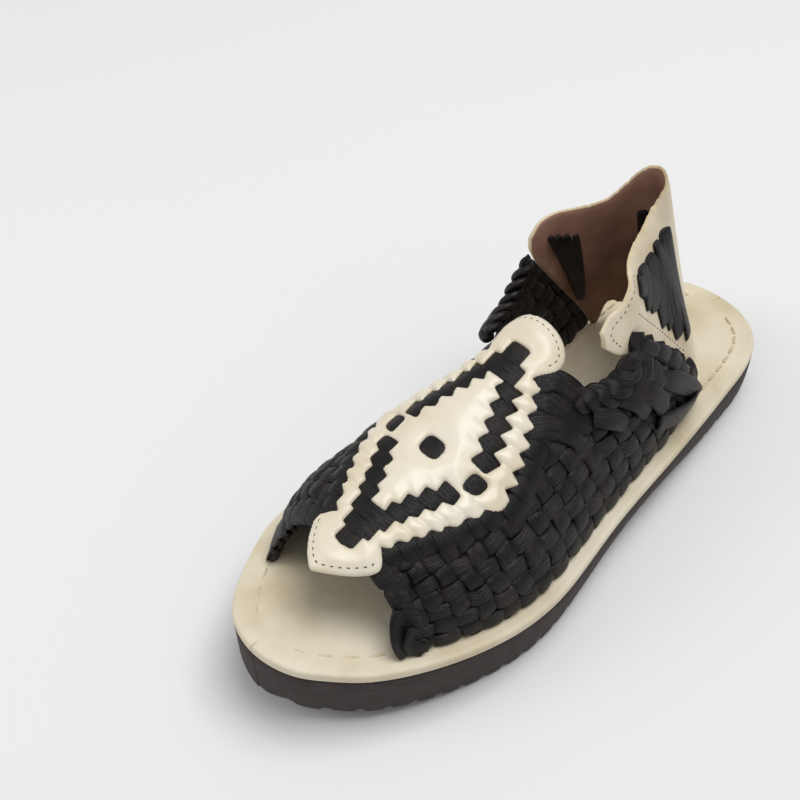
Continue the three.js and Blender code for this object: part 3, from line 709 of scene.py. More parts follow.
def footbedRows(stations, side):
    low = lift(stations * stationLength) + shoe["outsoleThick"] + shoe["fit"]
    high = low + shoe["footbedThick"]
    r = footbedSizes["edgeRound"]
    rows = [(r * 3.2, high), (r * 1.6, high - 0.02)]
    for angle in (0, 30, 60, 90):
        turn = math.radians(angle)
        rows.append((r * (1 - math.sin(turn)), high - r * (1 - math.cos(turn))))
    rows.append((0, low + 0.4))
    rows.append((0.3, low))
    return rows


slab("footbedSheet", soleStations(footbedSizes["rings"]), footbedRows, 14, [leatherFootbed],
     ["footbed"])
print("sole ready")

rimStitch = {"inset": 8.5, "toePitch": 9.5, "heelPitch": 6.0, "radius": 0.62, "share": 0.72,
             "proud": 1.1, "sunk": 0.6, "end": 0.985}


# A short thread end to end, sunk a little in the leather
def stitch(bundle, start, end, outward):
    radius = rimStitch["radius"]
    share = np.linspace(0, 1, 7)[:, None]
    dip = np.sin(math.pi * share) ** 0.5
    rise = dip * radius * rimStitch["proud"] - radius * rimStitch["sunk"]
    path = mix(start, end, share) + outward * rise
    flatCord(bundle, path, np.broadcast_to(outward, path.shape), 2 * radius, 2 * radius,
             threadAngles, 1.0)


def addRimStitches():
    bundle = newBundle()
    stations = soleStations(600)
    stations = stations[np.abs(stations) < rimStitch["end"]]
    for side in (-1, 1):
        x, y = edgePoint(stations, side, rimStitch["inset"])
        points = np.stack([x, y, footbedTop + lift(x)], -1)
        runs = runsOf(points)
        place = 0.0
        while place < runs[-1] - rimStitch["heelPitch"]:
            pitch = mix(rimStitch["heelPitch"], rimStitch["toePitch"], place / runs[-1])
            ends = atRuns(runs, points, [place, place + pitch * rimStitch["share"]])
            stitch(bundle, ends[0], ends[1], np.array([0, 0, 1.0]))
            place += pitch
    addBundle("footbedStitches", bundle, thread)


addRimStitches()

# The weave: cords up the side pass over and under cords along it
weaveSizes = {
    "warps": 19, "wefts": 10, "thick": 2.4, "rise": 1.0, "widthShare": 0.95, "core": 0.25,
    "wander": 0.11, "uneven": 0.2, "footCount": -0.2, "footRise": 0.2, "seat": 0.7,
}
warpPitch = allColumns / weaveSizes["warps"]
weftPitch = 1 / weaveSizes["wefts"]
collarGirth = 1 - shoe["collarRow"] / shoe["sideRows"]


# Height of a cord at a crossing count, squarer than a sine so that it dives between cells
def crossing(count):
    wave = np.cos(math.pi * count)
    return np.sign(wave) * np.abs(wave) ** 0.42


# Hand-woven cords wander a little from their line
def wander(place, seed):
    first = np.sin(place * 1.9 + seed * 2.3)
    return weaveSizes["wander"] * (first + np.sin(place * 4.3 + seed * 5.1) * 0.6) / 1.6


# Width of a cord from the two lines that bound it
def cordWidth(near, far):
    return np.linalg.norm(far - near, axis=1) * weaveSizes["widthShare"]


def addCordUp(bundle, k, side):
    column = (k + 0.5) * warpPitch
    top = 0.0 if column <= vampColumns else collarGirth
    g = np.linspace(1.0, top, 110)
    count = (1 - g) / weftPitch - 0.5
    uneven = 1 + weaveSizes["uneven"] * np.sin(count * 1.3 + k * 2.1 + side)
    height = weaveSizes["rise"] * crossing(count + k) * uneven
    low = np.minimum(height, weaveSizes["footRise"])
    height = np.where(count < weaveSizes["footCount"], low, height)
    bent = column + warpPitch * wander(count, k + side)
    path, outward = onSurface(weave, bent, side * g, height)
    near, _ = onSurface(weave, np.full_like(g, column - warpPitch / 2), side * g)
    far, _ = onSurface(weave, np.full_like(g, column + warpPitch / 2), side * g)
    floor = footbedTop + shoe["fit"] + lift(path[:, 0]) + weaveSizes["seat"]
    path[:, 2] = np.maximum(path[:, 2], floor)
    flatCord(bundle, path, outward, cordWidth(near, far), weaveSizes["thick"])


def addCordAlong(bundle, r, side):
    g = 1 - (r + 0.5) * weftPitch
    last = allColumns - 0.05 if g > collarGirth else vampColumns - 0.05
    columns = np.linspace(0.05, last, int(last * 7))
    count = columns / warpPitch - 0.5
    uneven = 1 + weaveSizes["uneven"] * np.sin(count * 1.7 + r * 1.3 + side)
    height = -weaveSizes["rise"] * crossing(count + r) * uneven
    bent = g + weftPitch * wander(count, r + 7 * side) * (r > 0)
    path, outward = onSurface(weave, columns, side * bent, height)
    near, _ = onSurface(weave, columns, side * (g - weftPitch / 2))
    far, _ = onSurface(weave, columns, side * (g + weftPitch / 2))
    flatCord(bundle, path, outward, cordWidth(near, far), weaveSizes["thick"])


def addWeave():
    cordsUp = newBundle()
    cordsAlong = newBundle()
    for side in (-1, 1):
        for k in range(weaveSizes["warps"]):
            addCordUp(cordsUp, k, side)
        for r in range(weaveSizes["wefts"]):
            addCordAlong(cordsAlong, r, side)
    addBundle("weaveCordsUp", cordsUp, cordWoven, ["upper_weave"])
    addBundle("weaveCordsAlong", cordsAlong, cordWoven)


addWeave()


# Thin dark web in the middle of the wall, so that no light comes through at the corners
def addWeb():
    bundle = newBundle()
    parts = ((0.1, vampColumns, 0.0), (vampColumns, allColumns - 0.1, collarGirth))
    for side in (-1, 1):
        for first, last, top in parts:
            us = np.linspace(first, last, int((last - first) * 4) + 1)
            gs = np.linspace(top + 0.01, 0.985, 60)
            u, g = np.meshgrid(us, gs * side, indexing="ij")
            for half in (-1, 1):
                points, _ = onSurface(weave, u, g, half * weaveSizes["core"] / 2)
                addPart(bundle, points, gridFaces(len(us), len(gs)), np.stack([u, g * 10], -1))
    addBundle("weaveWeb", bundle, cordWoven)


addWeb()
print("weave ready")

# Fat loops of cord round the open edges: over, round the edge and under again. Reaches at
# the toe are in columns of the weave, at the collar in shares of the girth.
loopSizes = {"reach": 0.9, "past": 0.2, "columnLength": 6.8, "rise": 1.3, "thick": 2.6,
             "width": 9.4, "endWidth": 0.75, "collarPast": 0.012, "collarReach": 0.09,
             "collarWidth": 7.4, "collarEndWidth": 0.7}


def addEdgeLoops():
    bundle = newBundle()
    turn = np.linspace(-1, 1, 26)
    depth = np.abs(turn) ** 1.6
    height = loopSizes["rise"] * np.sin(turn * math.pi / 2)
    atEnds = np.abs(turn) ** 3
    for side in (-1, 1):
        for r in range(weaveSizes["wefts"]):
            g = 1 - (r + 0.5) * weftPitch
            reach = loopSizes["reach"] * rng.uniform(0.8, 1.5)
            columns = reach * depth - loopSizes["past"] * rng.uniform(0.5, 1.4)
            path, outward = onSurface(weave, np.clip(columns, 0, None), side * g, height)
            forward = np.clip(-columns, 0, None)[:, None] * [loopSizes["columnLength"], 0, 0]
            width = loopSizes["width"] * rng.uniform(0.85, 1.08)
            width = width * mix(1.0, loopSizes["endWidth"], atEnds)
            flatCord(bundle, path + forward, outward, width, loopSizes["thick"])
        for k in range(vampColumns, allColumns):
            g = collarGirth - loopSizes["collarPast"] + loopSizes["collarReach"] * depth
            path, outward = onSurface(weave, np.full_like(g, k + 0.5), side * g, height)
            width = loopSizes["collarWidth"] * mix(1.0, loopSizes["collarEndWidth"], atEnds)
            flatCord(bundle, path, outward, width, loopSizes["thick"])
    addBundle("weaveEdgeLoops", bundle, cordWoven)


addEdgeLoops()

# Outline of the vamp plate on one side, from the toe tab to the instep tab: millimetres
# along from the first station and off the middle. The toe half is cut in round puffs, the
# instep half in sharp teeth.
tabRows = columnsOf("reach off", [
    (-13, 0), (-12.2, 3.8), (-10.1, 7.3), (-7.2, 10.4), (-4.1, 12.9), (-1.2, 14.7),
    (1.6, 15.2), (4.6, 13.3), (7.6, 10.2),
])
puffRows = columnsOf("reach off", [
    (7.6, 10.2), (9.3, 13.7), (13.6, 12.6), (15.2, 17.1), (19, 15.7), (20.6, 20), (25.5, 18.3),
    (27, 22.8), (30.9, 21.6), (33.6, 26), (38.6, 24.8), (40.7, 29), (44.9, 28.2), (47.6, 31.8),
    (51.5, 33.2), (55.9, 32.8),
])
teethRows = columnsOf("reach off", [
    (57.1, 28.8), (62.7, 31.8), (63.6, 26.8), (69.2, 29), (70.2, 24.3), (75.6, 26.2),
    (76.3, 20.9), (82.1, 23.2), (82.6, 17.6), (88.6, 19.6), (89, 14.3), (93.9, 16), (94.6, 10.6),
])
instepRows = columnsOf("reach off", [
    (94.6, 10.6), (97.4, 12.2), (101, 14.6), (105, 15.8), (108.5, 15.4), (112, 12.8),
    (115, 7.6), (116.4, 0),
])

plateSizes = {
    "grid": 0.9, "edge": 0.6, "clear": 0.45, "round": 0.8, "puff": 1.7, "puffReach": 5.5,
    "crease": 0.75, "creaseWidth": 0.9, "creaseLean": 1.6, "innerCrease": 0.6,
    "stepGap": 0.3, "lozengeLong": 3.9, "lozengeWide": 4.3,
}

# Corners of a window, along from the start or end of its station and off its inner or outer
# edge, in the order inner start, inner end, outer start, outer end
windowCorners = {
    "toe": ((0.1, 0.55), (-1.2, 0.0), (0.95, 0.5), (-1.1, 0.1)),
    "instep": ((1.3, 0.0), (-0.5, 1.6), (1.5, -0.3), (1.1, 1.9)),
    "wide": ((0.6, 1.3), (-0.6, 1.2), (2.9, 0.1), (0.3, 0.9)),
}
widest = 7    # station where the plate is widest, with a window of its own on each side
reachAt = along(plateTable, "column", vampUs, "start") * shoe["vampReach"]
plateStarts = plateTable["start"] * shoe["vampReach"]
plateMiddles = plateTable["middle"] * shoe["plateHalfWidth"]
plateHalves = plateTable["half"] * shoe["plateHalfWidth"]
windowLows = plateMiddles - plateHalves
windowHighs = plateMiddles + plateHalves


# Point of the vamp from plate measures: along and off the middle, both in millimetres
def onPlate(reach, off, height):
    column = np.interp(reach, reachAt, vampUs)
    return onSurface(vamp, column, girthAt(column, off), height)


# Corners of an outline cut off some times over, which rounds them
def rounded(points, times, keep=0.25):
    points = np.asarray(points, float)
    for _ in range(times):
        ahead = np.roll(points, -1, axis=0)
        points = np.stack([mix(points, ahead, keep), mix(points, ahead, 1 - keep)], 1)
        points = points.reshape(-1, 2)
    return points


# Closed outline with points about a step apart
def spaced(points, step):
    loop = np.vstack([points, points[:1]])
    sizes = np.linalg.norm(np.diff(loop, axis=0), axis=1)
    made = []
    for a, b, size in zip(loop[:-1], loop[1:], sizes):
        count = max(1, round(size / step))
        made.extend(mix(a, b, k / count) for k in range(count))
    return np.array(made)


def rowsOf(table):
    return np.stack([table["reach"], table["off"]], -1)


def mirrored(rows):
    return rows[::-1] * [1, -1]


# Height that a padded sheet gains at a distance from its edge
def puffAt(away):
    return plateSizes["puff"] * (1 - np.exp(-(away / plateSizes["puffReach"]) ** 1.5))


# Smooth curve through the rows of one end of the plate
def tabCurve(rows, first, last):
    keys = columnsOf("run reach off", [(k, *row) for k, row in enumerate(rows)])
    runs = np.linspace(first, last, 60)
    return np.stack([along(keys, "run", runs, "reach"), along(keys, "run", runs, "off")], -1)


# One side of the plate from the middle of the toe tab to the middle of the instep tab
def plateSide():
    toe = rowsOf(tabRows)
    toe = tabCurve(np.vstack([toe[1] * [1, -1], toe]), 1, len(toe))
    puffs = rowsOf(puffRows)
    puffs = np.vstack([puffs[:1], smoothRun(puffs, 2), puffs[-1:]])
    instep = rowsOf(instepRows)
    instep = tabCurve(np.vstack([instep, instep[-2] * [1, -1]]), 0, len(instep) - 1)
    return np.vstack([toe[:-1], puffs, rowsOf(teethRows)[:-1], instep])


# An open run of points with its corners cut off
def smoothRun(points, times):
    for _ in range(times):
        first = mix(points[:-1], points[1:], 0.25)
        second = mix(points[:-1], points[1:], 0.75)
        points = np.stack([first, second], 1).reshape(-1, 2)
    return points


# Inner and outer edge of a zigzag slit over some stations, on the outer side
def slitEdges(stations, corners):
    inner = []
    outer = []
    for k in stations:
        start, end = plateStarts[k:k + 2]
        low = windowLows[k]
        high = windowHighs[k]
        placed = np.array([(start, low), (end, low), (start, high), (end, high)]) + corners
        inner.extend(placed[:2])
        outer.extend(placed[2:])
    return np.array(inner), np.array(outer)


# Steps of the edge of the windows that lie on the middle line
def middleSteps(stations):
    rows = []
    for k in stations:
        rows.append((plateStarts[k] + plateSizes["stepGap"], plateHalves[k]))
        rows.append((plateStarts[k + 1], plateHalves[k]))
    return np.array(rows)


# The two large openings of the plate, round the toe and the instep end of its diamond
def plateOpenings():
    inner, outer = slitEdges(range(3, widest), windowCorners["toe"])
    steps = middleSteps(range(0, 3))
    edge = np.vstack([steps, outer])
    toe = np.vstack([mirrored(edge), edge, inner[::-1], inner * [1, -1]])
    inner, outer = slitEdges(range(widest + 1, 13), windowCorners["instep"])
    steps = middleSteps(range(13, 15))
    edge = np.vstack([outer, steps])
    instep = np.vstack([edge, mirrored(edge), inner * [1, -1], inner[::-1]])
    return [toe, instep]


# The single windows: two at the widest station and the one in the middle of the diamond
def plateLozenges():
    inner, outer = slitEdges([widest], windowCorners["wide"])
    side = np.vstack([inner, outer[::-1]])
    long = plateSizes["lozengeLong"]
    wide = plateSizes["lozengeWide"]
    centre = (plateStarts[widest] + plateStarts[widest + 1]) / 2
    middle = np.array([(centre - long, -wide), (centre + long, -wide),
                       (centre + long, wide), (centre - long, wide)])
    return [side, side[::-1] * [1, -1], middle]


def insideOf(points, loop):
    x, y = points[:, 0], points[:, 1]
    count = np.zeros(len(points), int)
    ahead = np.roll(loop, -1, axis=0)
    for (x0, y0), (x1, y1) in zip(loop, ahead):
        if y0 == y1:
            continue
        spans = (y0 > y) != (y1 > y)
        count += spans & (x < x0 + (y - y0) / (y1 - y0) * (x1 - x0))
    return count % 2 == 1


# Creases between the teeth, from the corners of the openings to the notches of the edge,
# and shallower ones on the inner side of the slits
def plateCreases(points):
    reach = points[:, 0]
    off = np.abs(points[:, 1])
    rim = np.interp(reach, plateStarts, windowHighs)
    slit = 2 * plateHalves[3]
    depth = np.zeros(len(points))
    beyond = np.clip(off - rim + 1.0, 0, 9)
    inner = np.clip(1 - (rim - slit - off) / 5, 0, 1) * (off < rim - slit / 2)
    for k in list(range(3, 8)) + list(range(9, 14)):
        line = plateStarts[k] + plateSizes["creaseLean"] * beyond / 8
        shape = np.exp(-((reach - line) / plateSizes["creaseWidth"]) ** 2)
        depth = np.maximum(depth, shape * np.clip(beyond, 0, 1))
        shape = np.exp(-((reach - plateStarts[k]) / plateSizes["creaseWidth"]) ** 2)
        depth = np.maximum(depth, plateSizes["innerCrease"] * shape * inner)
    return depth * plateSizes["crease"]


# Shortest distance from each point to a row of points
def distanceTo(rim, points):
    found = np.empty(len(points))
    for k in range(0, len(points), 800):
        gap = points[k:k + 800, None] - rim[None]
        found[k:k + 800] = np.sqrt((gap ** 2).sum(-1)).min(1)
    return found


def insidePlate(points, loops):
    inside = insideOf(points, loops[0])
    for loop in loops[1:]:
        inside &= ~insideOf(points, loop)
    return inside


# Flat triangles of the plate between its outline and its openings
def plateSheet(loops):
    step = plateSizes["grid"]
    xs, ys = np.meshgrid(np.arange(-14.5, 118, step), np.arange(-34, 34, step), indexing="ij")
    xs = xs + (np.arange(ys.shape[1]) % 2)[None] * step / 2
    grid = np.stack([xs.ravel(), ys.ravel()], -1)
    rim = np.vstack(loops)
    grid = grid[insidePlate(grid, loops)]
    grid = grid[distanceTo(rim, grid) > plateSizes["clear"]]
    edges = []
    start = 0
    for loop in loops:
        edges.extend((start + k, start + (k + 1) % len(loop)) for k in range(len(loop)))
        start += len(loop)
    flat = np.vstack([rim, grid])
    found = delaunay_2d_cdt([tuple(p) for p in flat], edges, [], 0, 1e-5)
    points = np.array([tuple(p) for p in found[0]])
    faces = np.array([face for face in found[2] if len(face) == 3])
    return points, faces[insidePlate(points[faces].mean(1), loops)]


def addPlate():
    side = plateSide()
    outline = np.vstack([side, mirrored(side)[1:-1]])
    loops = [spaced(outline, plateSizes["edge"])]
    loops += [spaced(rounded(loop, 1, 0.1), plateSizes["edge"]) for loop in plateOpenings()]
    loops += [spaced(rounded(loop, 2, 0.2), plateSizes["edge"]) for loop in plateLozenges()]
    points, faces = plateSheet(loops)
    away = distanceTo(np.vstack(loops), points)
    near = np.clip(away / plateSizes["round"], 0, 1)
    thick = shoe["plateHigh"] - shoe["plateLow"]
    height = shoe["plateLow"] + thick * (0.5 + 0.5 * np.sqrt(1 - (1 - near) ** 2)) + puffAt(away)
    height = height - plateCreases(points) * near
    top, _ = onPlate(points[:, 0], points[:, 1], height)
    under, _ = onPlate(points[:, 0], points[:, 1], shoe["plateLow"] - 0.1)
    count = len(points)
    pairs = np.vstack([faces[:, [0, 1]], faces[:, [1, 2]], faces[:, [2, 0]]])
    known = {tuple(pair) for pair in pairs.tolist()}
    openEdges = [pair for pair in known if (pair[1], pair[0]) not in known]
    walls = [(b, a, a + count, b + count) for a, b in openEdges]
    allFaces = faces.tolist() + (faces[:, ::-1] + count).tolist() + walls
    probe = top[faces[0]]
    turn = np.cross(probe[1] - probe[0], probe[2] - probe[0])
    if turn @ (probe[0] - under[faces[0][0]]) < 0:
        allFaces = [face[::-1] for face in allFaces]
    kinds = [0] * (2 * len(faces)) + [1] * len(walls)
    addPiece("vampPlateLeather", np.vstack([top, under]), allFaces, [leatherPlate, leatherEdge],
             ["vamp_plate"], None, kinds)
    print("vampPlateLeather", count, "points")


addPlate()


# Cords that rise through the openings of the plate, each domed across its station
windowCord = {"thick": 2.4, "top": 1.75, "under": 0.3, "past": 2.2, "widen": 1.3, "lean": 1.2}


def windowSpans():
    spans = []
    for k in range(vampColumns):
        if plateMiddles[k] == 0:
            spans.append((k, -windowHighs[k], windowHighs[k]))
        else:
            spans.append((k, windowLows[k], windowHighs[k]))
            spans.append((k, -windowHighs[k], -windowLows[k]))
    return spans + [(widest, -plateSizes["lozengeWide"], plateSizes["lozengeWide"])]


def addWindowCords():
    bundle = newBundle()
    share = np.linspace(0, 1, 26)
    dome = np.sin(math.pi * share) ** 0.4
    for k, low, high in windowSpans():
        off = mix(low - windowCord["past"], high + windowCord["past"], share)
        lean = windowCord["lean"] if 3 <= k < widest else 0.0
        middle = (plateStarts[k] + plateStarts[k + 1]) / 2
        reach = middle + (share - 0.5) * lean * np.sign((low + high) / 2 or 1.0)
        height = mix(windowCord["under"], windowCord["top"], dome) + rng.uniform(-0.2, 0.15)
        path, outward = onPlate(reach, off, height)
        width = (plateStarts[k + 1] - plateStarts[k]) * windowCord["widen"]
        flatCord(bundle, path, outward, width, windowCord["thick"])
    addBundle("plateWindowCords", bundle, cordWoven)


addWindowCords()

# Fat cords that come out from under the edge of the plate and go down into the weave
edgeCord = {
    "hidden": 3.5, "sunk": -0.3, "peak": 2.0, "thick": 2.6, "endWidth": 5.4,
    "toe": {"reach": 7.0, "lean": -2.0, "width": 8.2},
    "instep": {"reach": 9.0, "lean": 3.0, "width": 9.4, "place": 1.2},
}


def addPlateEdgeCords():
    bundle = newBundle()
    share = np.linspace(0, 1, 24)
    dome = np.sin(math.pi * np.clip(share * 1.05, 0, 1)) ** 0.7
    wide = np.sin(math.pi * share) ** 0.6
    side = plateSide()
    order = np.argsort(side[:, 0], kind="stable")
    for k in range(1, vampColumns):
        part = edgeCord["toe" if k < widest else "instep"]
        middle = (plateStarts[k] + plateStarts[k + 1]) / 2
        if k >= widest:
            middle = plateStarts[k] + part["place"]    # at the notch behind a tooth
        edge = np.interp(middle, side[order, 0], side[order, 1])
        for sign in (-1, 1):
            beyond = part["reach"] + rng.uniform(-0.8, 1.2)
            off = edge + mix(-edgeCord["hidden"], beyond, share)
            reach = middle + (share - 0.3) * part["lean"]
            height = mix(edgeCord["sunk"], edgeCord["peak"] + rng.uniform(-0.2, 0.3), dome)
            path, outward = onPlate(reach, sign * off, height)
            width = mix(edgeCord["endWidth"], part["width"], wide)
            flatCord(bundle, path, outward, width, edgeCord["thick"])
    addBundle("plateEdgeCords", bundle, cordWoven)


addPlateEdgeCords()
print("plate ready")

# Heel strap: smooth leather outside, brushed suede inside and a light cut edge. Its wobble
# is in hundredths of its height.
strapSizes = {"rows": 190, "across": 26, "softDent": 0.25, "edgeWobble": 0.25}


# Soft hollows of the worn strap
def strapDent(u, v):
    return strapSizes["softDent"] * np.sin(u * 1.7) * np.sin(v * 5 + u * 0.6)


def addStrap():
    us = np.linspace(0, 19, strapSizes["rows"] + 1)
    share = np.linspace(0, 1, strapSizes["across"] + 1)
    half = shoe["strapThick"] / 2
    nearEdge = np.minimum(share, 1 - share) * 30
    swell = half * np.clip(0.62 + 0.38 * np.sqrt(1 - (1 - np.clip(nearEdge, 0, 1)) ** 2), 0, 1)
    vs = np.concatenate([share, [1.012], share[::-1], [-0.012]])
    heights = np.concatenate([swell, [0], -swell[::-1], [0]])
    u, v = np.meshgrid(us, vs, indexing="ij")
    dent = strapDent(u, v)
    wobble = rng.normal(0, strapSizes["edgeWobble"] / 100, len(us))[:, None]
    v = v + wobble * np.abs(2 * v - 1) ** 6
    points, _ = onSurface(strap, u, v, heights[None] + dent)
    points[..., 2] = np.maximum(points[..., 2], footbedTop + shoe["fit"])
    count = len(vs)
    faces = gridFaces(len(us), count, closed=True)
    column = np.tile(np.arange(count), len(us) - 1)
    across = strapSizes["across"]
    kinds = np.where(column < across, 0, np.where(
        (column > across + 1) & (column < count - 2), 2, 1))
    last = (len(us) - 1) * count
    faces = faces.tolist() + [list(range(count))[::-1], list(range(last, last + count))]
    kinds = kinds.tolist() + [1, 1]
    addPiece("heelStrapLeather", points.reshape(-1, 3), faces,
             [leatherStrap, leatherEdge, suedeStrap], ["heel_strap"], None, kinds)


addStrap()

# Cords laced through the strap, as in the table of the strap's rows and shares. A run lies
# outside the strap or behind it, and its ends dive into the leather.
heelRuns = [
    {"node": "heel_cords_outer_side", "side": 1, "cords": 8,
     "low": ((11.7, 0.14), (14.9, 0.76)), "top": ((10.6, 0.82), (14.2, 0.88))},
    {"node": "heel_cords_outer_inside", "side": 1, "cords": 8,
     "low": ((3.6, 0.76), (6.8, 0.14)), "top": ((4.3, 0.88), (7.9, 0.82))},
    {"node": "heel_cords_inner_side", "side": -1, "cords": 6,
     "low": ((14.3, 0.14), (14.5, 0.1)), "top": ((14.6, 0.74), (16.6, 0.62))},
    {"node": "heel_cords_inner_inside", "side": -1, "cords": 7,
     "low": ((4, 0.1), (4.2, 0.14)), "top": ((2, 0.64), (4, 0.74))},
    {"node": "heel_cords_inner_back", "side": -1, "cords": 8,
     "low": ((7.9, 0.24), (10.2, 0.24)), "top": ((7.6, 0.72), (10.6, 0.72))},
]
heelCord = {"thick": 1.9, "above": 2.0, "sunk": 0.3, "widen": 1.8, "stagger": 0.02}


def addHeelRuns():
    share = np.linspace(0, 1, 40)
    dive = np.sin(math.pi * share) ** 0.25
    narrow = mix(0.75, 1.0, np.sin(math.pi * share) ** 0.4)
    for run in heelRuns:
        bundle = newBundle()
        low = np.array(run["low"])
        top = np.array(run["top"])
        height = run["side"] * mix(heelCord["sunk"], heelCord["above"], dive)
        for k in range(run["cords"]):
            half = 0.5 / run["cords"]
            place = (2 * k + 1) * half
            shift = heelCord["stagger"] * (1 if k % 2 else -1)
            start = mix(low[0], low[1], place) + [0, shift]
            end = mix(top[0], top[1], place) + [0, -shift]
            line = mix(start[None], end[None], share[:, None])
            path, outward = onSurface(strap, line[:, 0], line[:, 1], height)
            sides = np.array([mix(mix(low[0], low[1], p), mix(top[0], top[1], p), 0.5)
                              for p in (place - half, place + half)])
            ends, _ = onSurface(strap, sides[:, 0], sides[:, 1])
            width = np.linalg.norm(ends[1] - ends[0]) * heelCord["widen"]
            flatCord(bundle, path, outward * run["side"], width * narrow, heelCord["thick"])
        name = run["node"].replace("heel_cords", "heelCords").replace("_", "")
        addBundle(name, bundle, cordWoven, [run["node"]])


addHeelRuns()


# Smooth run of points through a given route
def routeThrough(points, count=40):
    points = np.asarray(points, float)
    keys = columnsOf("run x y z", [(k, *p) for k, p in enumerate(points)])
    runs = np.linspace(0, len(points) - 1, count)
    return np.stack([along(keys, "run", runs, axis) for axis in "xyz"], -1)


footMiddle = {"y": -5.0, "z": 38.0}


# Outward from the middle of the foot
def awayFromFoot(path):
    middle = path.copy()
    middle[:, 1] = footMiddle["y"]
    middle[:, 2] = footMiddle["z"]
    return unit(path - middle)


# Loose flat cords on the outer side: the fan below the strap, the folds behind it, the wide
# cords from the teeth of the plate to the notch, the leaves over the collar and the corner
# that hangs down in front. Route points are in millimetres in the frame of the shoe.
looseCords = [
    {"name": "fanFront", "width": 8.6, "thick": 2.6, "route": [
        (-43.2, 14, 79.8), (-41.2, 16.2, 76.6), (-42.2, 19, 70.5), (-40.2, 21.8, 66.5),
        (-36.6, 23, 62.5), (-31, 22.6, 60.5)]},
    {"name": "fanFrontUnder", "width": 7, "thick": 2.2, "route": [
        (-50.6, 13.6, 72.4), (-49, 16.5, 68), (-47, 19, 64), (-43, 20.4, 61)]},
    {"name": "fanMiddle", "width": 8.8, "thick": 2.6, "route": [
        (-58.4, 13.6, 63.6), (-56, 17, 60.6), (-51.4, 21, 60), (-46, 24.4, 59), (-39, 25, 56.5)]},
    {"name": "fanMiddleUnder", "width": 7, "thick": 2.2, "route": [
        (-66.8, 13.4, 54.2), (-63.6, 17, 51), (-59, 20, 49.5), (-54, 22, 48)]},
    {"name": "fanRear", "width": 9, "thick": 2.6, "route": [
        (-74.8, 13.4, 45.6), (-69, 18, 45), (-61, 22.6, 47), (-53, 25.4, 50), (-46, 27, 50)]},
    {"name": "fanRearUnder", "width": 6.5, "thick": 2.2, "route": [
        (-80, 14.4, 38.2), (-80.4, 17.4, 34), (-79, 20.5, 31), (-74, 23, 31)]},
    {"name": "foldUpper", "width": 9.5, "thick": 2.2, "route": [
        (-49, 24.5, 57.5), (-55, 26, 53), (-62, 26.5, 46), (-69, 26, 38), (-74.5, 25.3, 31.5)]},
    {"name": "foldLower", "width": 9.5, "thick": 2.2, "route": [
        (-73.5, 25.4, 31), (-67, 28, 32), (-59, 30, 35), (-50, 31, 39), (-42, 31, 43)]},
    {"name": "wideFirst", "width": 10, "thick": 2.6, "route": [
        (1.5, 0.8, 72), (-3, 3.1, 73.2), (-8, 5.4, 73.2), (-11, 10.2, 70.4), (-12.4, 14.6, 66.6),
        (-13.5, 18, 63)]},
    {"name": "wideSecond", "width": 10, "thick": 2.6, "route": [
        (6, 3, 70), (2.5, 6, 71.2), (-2, 12, 68.8), (-6.6, 19, 63), (-10, 22.4, 59)]},
    {"name": "wideLeaf", "width": 9.5, "thick": 2.6, "route": [
        (18, 11, 65), (13, 12.4, 66.6), (7.4, 14.6, 66.6), (-0.2, 20.4, 61.8), (-2.5, 23.6, 56.5)]},
    {"name": "collarLeafFront", "width": 9, "thick": 2.6, "route": [
        (-12, 21.5, 62), (-17, 24.4, 60), (-22, 26, 56), (-25, 27, 52)]},
    {"name": "collarLeafMiddle", "width": 9, "thick": 2.6, "route": [
        (-25, 21.5, 63), (-30, 24.5, 61), (-34, 27, 56.5), (-36, 28.5, 51)]},
    {"name": "collarLeafRear", "width": 9, "thick": 2.6, "route": [
        (-35, 23, 61), (-40, 26.5, 58), (-44, 28.5, 52), (-46, 29.5, 46)]},
    {"name": "frontCorner", "width": 8, "thick": 2.4, "route": [
        (91, 25.5, 46), (93.6, 27.6, 42.4), (95.4, 30.2, 36.6), (95.6, 32.6, 30.6)]},
    {"name": "frontCornerUnder", "width": 7.5, "thick": 2.4, "route": [
        (89.5, 31, 40), (92.4, 32.6, 34.5), (89.6, 35.6, 30.2)]},
]

# Toplines of both sides: two strands twisted round one line, flatter than a round rope
toplineFlat = 0.6
toplines = [
    {"name": "toplineOuter", "width": 7.6, "thick": 3.2, "radius": 2.3, "turns": 2.6, "route": [
        (-9.5, 14.5, 67), (-14.6, 17, 66.5), (-21, 19, 65), (-26.5, 20, 66), (-32, 20, 69),
        (-36.5, 18.6, 75)]},
    {"name": "toplineInner", "width": 7.6, "thick": 3.2, "radius": 2.3, "turns": 3, "route": [
        (-12, -33.5, 66.5), (-22, -38.5, 65), (-31, -41, 66), (-38, -42.4, 71.5),
        (-44, -42.6, 78)]},
]


def addLooseCords():
    bundle = newBundle()
    for cord in looseCords:
        path = routeThrough(cord["route"]) + [0, acrossMiddle, 0]
        share = np.linspace(0, 1, len(path))
        narrow = mix(0.5, 1.0, np.sin(math.pi * np.clip(share * 0.9 + 0.06, 0, 1)) ** 0.5)
        flatCord(bundle, path, awayFromFoot(path), cord["width"] * narrow, cord["thick"])
    for line in toplines:
        path = routeThrough(line["route"], 90) + [0, acrossMiddle, 0]
        outward = awayFromFoot(path)
        aside = unit(np.cross(np.gradient(path, axis=0), outward))
        share = np.linspace(0, 1, len(path))
        for strand in (0, 1):
            angle = (2 * math.pi * (line["turns"] * share + strand / 2))[:, None]
            around = np.cos(angle) * outward * toplineFlat + np.sin(angle) * aside
            turned = path + line["radius"] * around
            narrow = mix(0.6, 1.0, np.sin(math.pi * share) ** 0.4)
            flatCord(bundle, turned, outward, line["width"] * narrow, line["thick"])
    addBundle("looseFlatCords", bundle, cordWoven)


addLooseCords()

